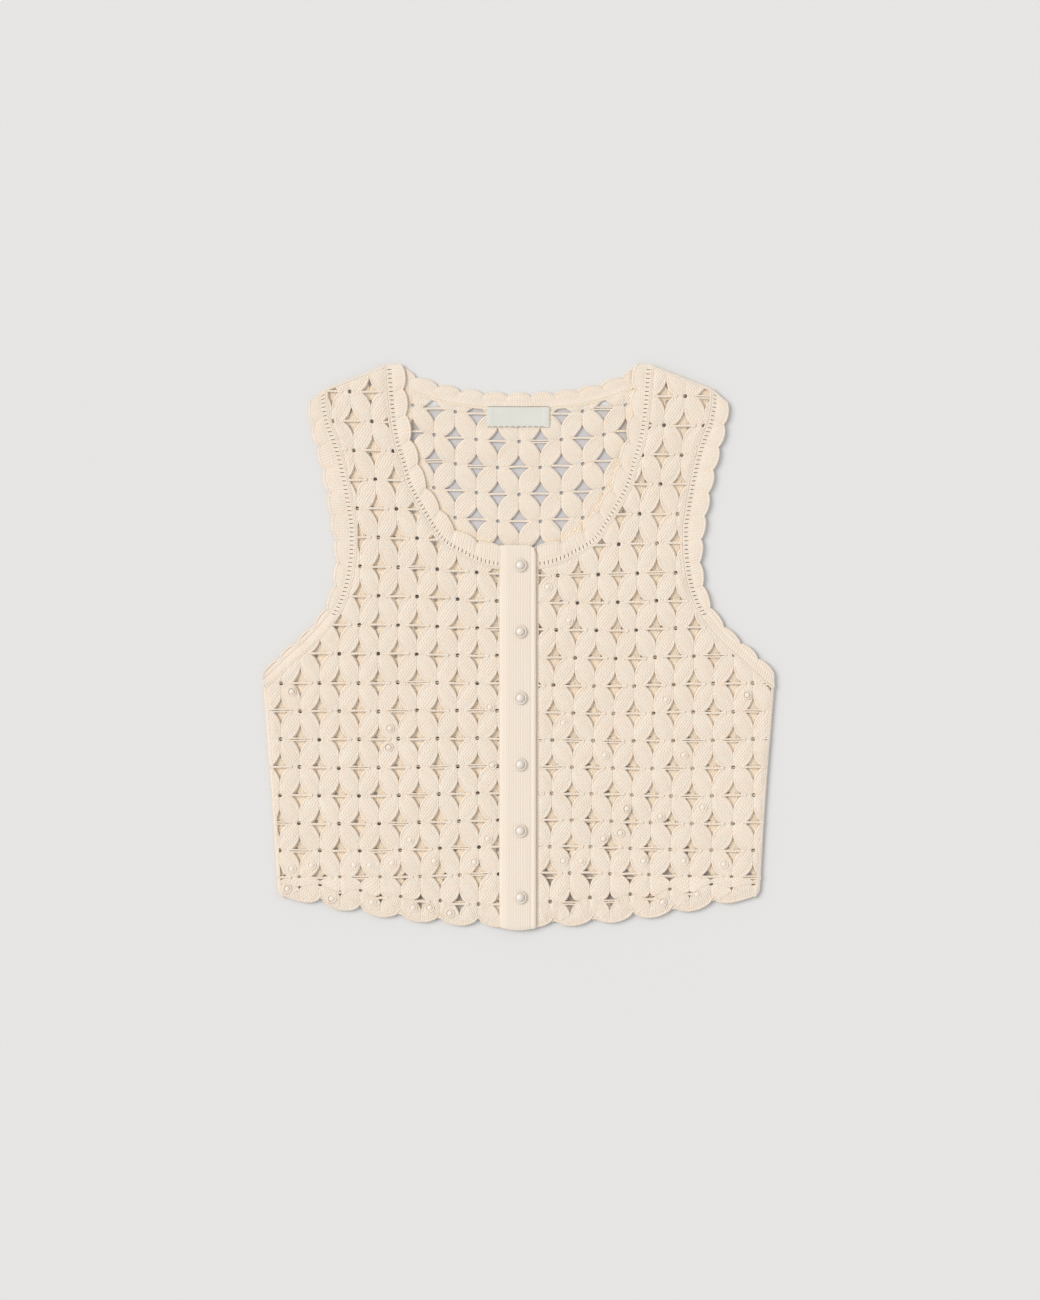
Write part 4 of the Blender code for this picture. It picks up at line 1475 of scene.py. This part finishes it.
class CARDIGAN_OT_front_bands(PieceOperator, bpy.types.Operator):
    """Make the ribbed front bands, the buttonhole band over the button band"""

    bl_idname = "cardigan.front_bands"
    bl_label = "Front Bands"

    def make(self, scene):
        colours = scene.cardigan_colours
        cloth = ribbed_finish("front_band_knit", colours.rib, colours.hollow, 1.55, 1.9, 0.2)
        left, right = LAP_EDGES

        def foot(x):
            return hem_line(x) - LAP_FOOT_DROP * np.cos(x / left * np.pi / 2)

        def top(x):
            past = np.clip((x - (right - LAP_CORNER)) / LAP_CORNER, 0, 1)
            return LAP_TOP - LAP_CORNER * (1 - np.sqrt(1 - past**2))

        def over(flat):
            x, y = flat.T
            from_left, from_right = x - left, right - x
            body = LAP_THICK * (0.55 + 0.45 * smoothstep(0.0, 7.0, from_left)) - 0.12
            ribs = 0.05 * waves(x, RIB_PITCH) * smoothstep(1.0, 4.0, from_left)
            sides = ridges(from_left, LAP_LEFT) + ridges(from_right, LAP_RIGHT)
            wave = 0.12 * np.sin(y / 17.0 + 0.6) * smoothstep(3.0, 12.0, from_right)
            depth, wide, long = BUTTON_PULL
            pull = sum(ridge(y, BUTTON_TOP_Y - n * BUTTON_PITCH, long) for n in range(BUTTON_COUNT))
            return body + ribs + sides + wave - depth * ridge(x, BUTTON_X, wide) * pull

        work = lap_strip(left, right, LAP_LOW, foot, top, over, 45, 150)
        made = work.piece("buttonhole_band_knit", cloth, "ribbed_band", ["buttonhole_band"])

        def under_foot(x):
            return hem_line(x) + UNDER_INSET

        def under_top(x):
            return np.full(len(x), LAP_TOP - UNDER_INSET)

        half = BUTTON_BAND_HALF

        def under(flat):
            x = flat[:, 0]
            return CLOTH - 0.1 + 0.1 * waves(x, RIB_PITCH) - 0.8 * ridge(half - np.abs(x), 0, 0.6)

        work = lap_strip(-half, half, FRONT_LOW, under_foot, under_top, under, 41, 60)
        made = work.piece("button_band_knit", cloth, "ribbed_band", ["button_band"])


def turned_rings(x, y, profile, sides):
    """Rings of a form turned round an upright axis. profile rows are (radius, height)."""
    a, b = circle(sides)
    return np.stack([np.column_stack([x + r * a, y + r * b, np.full(sides, z)]) for r, z in profile])


def loop_rings(x, y, z, radius, thick, count, sides):
    """Rings of a round cord laid in a circle."""
    out = np.column_stack([*circle(count), np.zeros(count)])
    a, b = (part[None, :, None] * thick for part in circle(sides))
    middle = np.array([x, y, z]) + radius * out
    return middle[:, None] + a * out[:, None] + b * UPRIGHT


class CARDIGAN_OT_buttons(PieceOperator, bpy.types.Operator):
    """Make the six buttons, each a pearl set in a turned saucer"""

    bl_idname = "cardigan.buttons"
    bl_label = "Buttons"

    def make(self, scene):
        colours, sizes = scene.cardigan_colours, scene.cardigan_buttons
        base = LAP_LOW + LAP_THICK
        wide, inner = sizes.radius, sizes.pearl_radius
        dish = [(0.05, base - 0.1)] + [(wide - inward, base + z) for inward, z in SAUCER]
        dish += [(inner - 0.3, base + SAUCER_FLOOR), (0.05, base + SAUCER_FLOOR)]
        dome = [(inner, base + 1.0)]
        for a in np.linspace(0.0, np.pi / 2, 12):
            z = PEARL_LOW + (PEARL_TOP - PEARL_LOW) * math.sin(a)
            dome.append((inner * math.cos(a) * 0.995 + 0.02, base + z))
        parts = (
            ("saucer", saucer_finish("button_saucer", colours.saucer), dish, 60),
            ("pearl", pearl_finish("button_pearl", colours.pearl, colours.glow), dome, 70),
        )
        for number in range(1, BUTTON_COUNT + 1):
            y = BUTTON_TOP_Y - (number - 1) * BUTTON_PITCH
            for name, material, profile, angle in parts:
                work = Work()
                add_skin(work, turned_rings(BUTTON_X, y, profile, 48))
                work.piece(f"button_{number}_{name}", material, "pearl", [f"button_{number}"], angle)


class CARDIGAN_OT_small_pearls(PieceOperator, bpy.types.Operator):
    """Sew the small pearls on, each in a ring of yarn on its petal"""

    bl_idname = "cardigan.small_pearls"
    bl_label = "Small Pearls"

    def make(self, scene):
        colours = scene.cardigan_colours
        beads, rings = Work(), Work()
        level = FRONT_LOW + CLOTH + PEARL_SEAT
        for x, y in PEARLS:
            tilt = np.linspace(-0.4, np.pi / 2, 7)
            dome = [(BEAD_WIDE * math.cos(a) + 0.02, level + 0.15 + BEAD_HIGH * math.sin(a)) for a in tilt]
            add_skin(beads, turned_rings(x, y, dome, 16))
            add_skin(rings, loop_rings(x, y, level + 0.05, RING_RADIUS, RING_THICK, 22, 6), closed=True)
        pearl = pearl_finish("small_pearl", colours.bead, colours.bead_glow, 0.46)
        yarn = cotton("pearl_ring_yarn", colours, 1.3, 1.6, 0.25)
        beads.piece("small_pearls", pearl, "pearl", angle=70)
        rings.piece("pearl_rings", yarn, "lace", angle=70)


class CARDIGAN_OT_label(PieceOperator, bpy.types.Operator):
    """Make the bare woven label at the back neck and the stitches that hold it"""

    bl_idname = "cardigan.label"
    bl_label = "Neck Label"

    def make(self, scene):
        colours = scene.cardigan_colours
        cloth = label_finish("label_satin", colours.label)
        low = BACK_LOW + CLOTH + AIR
        left, bottom = label_polygon()[0]
        wide, high = LABEL_SIZE
        columns, rows = LABEL_GRID
        u, v = np.meshgrid(np.linspace(0, 1, columns), np.linspace(0, 1, rows))
        flat = np.stack([left + u * wide, bottom + v * high], axis=-1).reshape(-1, 2)
        u, v = u.ravel(), v.ravel()
        ends = np.minimum(u, 1 - u) * wide
        sides = np.minimum(v, 1 - v) * high
        fold = 0.22 * (1 - smoothstep(5.2, 6.0, ends))
        wave = 0.1 * np.sin(u * 9.0 + 0.5) * np.sin(v * np.pi)
        dips = 0.14 * ridge(high * (1 - v), 1.3, 0.5) * (0.5 + 0.5 * waves(u * wide, 2.4))
        height = 0.62 + fold + wave - dips - 0.3 * ridge(np.minimum(ends, sides), 0.0, 0.35)
        work = Work()
        add_grid(work, rows, columns, flat, height, low, np.column_stack([u * wide, v * high]))
        made = work.piece("neck_label_satin", cloth, "label", ["neck_label"])
        seams = Work()
        for row, pitch, share in ((high - LABEL_TOP_SEAM[0], *LABEL_TOP_SEAM[1:]), LABEL_LOW_SEAM):
            for n in range(int(wide / pitch)):
                x = left + 0.4 + n * pitch
                across = np.linspace(x, x + pitch * share, 5)
                rise = 0.1 * np.sin(np.linspace(0, np.pi, 5))
                line = np.column_stack([across, np.full(5, bottom + row), low + 0.72 + rise])
                add_skin(seams, tube_rings(line, 0.3, 0.26, 5))
        thread = crochet_finish(
            "label_thread", colours.thread, LABEL_THREAD_SHADE, colours.inner, 0.5, 0.6, 0.05
        )
        sewn = seams.piece("label_stitches", thread, "label")


class CARDIGAN_OT_stage(PieceOperator, bpy.types.Operator):
    """Set the floor, the soft light and the camera straight above"""

    bl_idname = "cardigan.stage"
    bl_label = "Stage"

    def make(self, scene):
        stage = scene.cardigan_stage
        mesh = bpy.data.meshes.new("floor")
        half = FLOOR_HALF
        corners = [(-half, -half, 0), (half, -half, 0), (half, half, 0), (-half, half, 0)]
        mesh.from_pydata(corners, [], [(0, 1, 2, 3)])
        mesh.materials.append(floor_finish("floor_board", stage.floor, stage.under, stage.window))
        floor = bpy.data.objects.new("floor", mesh)
        floor.location.z = -FLOOR_DROP
        scene.collection.objects.link(floor)
        lamp = bpy.data.lights.new("key_light", "SUN")
        lamp.angle = math.radians(stage.softness)
        lamp.energy = stage.key
        lamp.color = KEY_COLOUR
        key = bpy.data.objects.new("key_light", lamp)
        key.location = KEY_AT
        key.rotation_euler = (-key.location).to_track_quat("-Z", "Y").to_euler()
        scene.collection.objects.link(key)
        world = bpy.data.worlds.new("studio")
        world.use_nodes = True
        background = world.node_tree.nodes["Background"]
        background.inputs["Color"].default_value = FILL_COLOUR
        background.inputs["Strength"].default_value = stage.fill
        scene.world = world
        scene.view_settings.view_transform = "Standard"
        camera = bpy.data.cameras.new("above")
        camera.lens = stage.lens
        camera.sensor_width = 36.0
        camera.clip_start = 0.05
        camera.dof.use_dof = False
        seen = bpy.data.objects.new("above", camera)
        seen.location = (*VIEW_MIDDLE, stage.height)
        scene.collection.objects.link(seen)
        scene.camera = seen


class CARDIGAN_PT_panel(bpy.types.Panel):
    bl_label = "Cardigan"
    bl_space_type = "VIEW_3D"
    bl_region_type = "UI"
    bl_category = "Cardigan"

    def draw(self, context):
        for name in SETTINGS:
            group = getattr(context.scene, name)
            for field in group.bl_rna.properties:
                if field.identifier not in ("rna_type", "name"):
                    self.layout.prop(group, field.identifier)
        for operator in OPERATORS:
            self.layout.operator(operator.bl_idname)


SETTINGS = {
    "cardigan_colours": CardiganColours,
    "cardigan_lace": LaceSettings,
    "cardigan_buttons": ButtonSettings,
    "cardigan_stage": StageSettings,
}
OPERATORS = (
    CARDIGAN_OT_back_body,
    CARDIGAN_OT_front_bodies,
    CARDIGAN_OT_bands,
    CARDIGAN_OT_front_bands,
    CARDIGAN_OT_buttons,
    CARDIGAN_OT_small_pearls,
    CARDIGAN_OT_label,
    CARDIGAN_OT_stage,
)
CLASSES = (*SETTINGS.values(), *OPERATORS, CARDIGAN_PT_panel)


def register():
    for group in CLASSES:
        bpy.utils.register_class(group)
    for name, group in SETTINGS.items():
        setattr(bpy.types.Scene, name, PointerProperty(type=group))


def unregister():
    for name in SETTINGS:
        delattr(bpy.types.Scene, name)
    for group in reversed(CLASSES):
        bpy.utils.unregister_class(group)


def main():
    register()
    for operator in OPERATORS:
        category, name = operator.bl_idname.split(".")
        getattr(getattr(bpy.ops, category), name)()


if __name__ == "__main__":
    main()
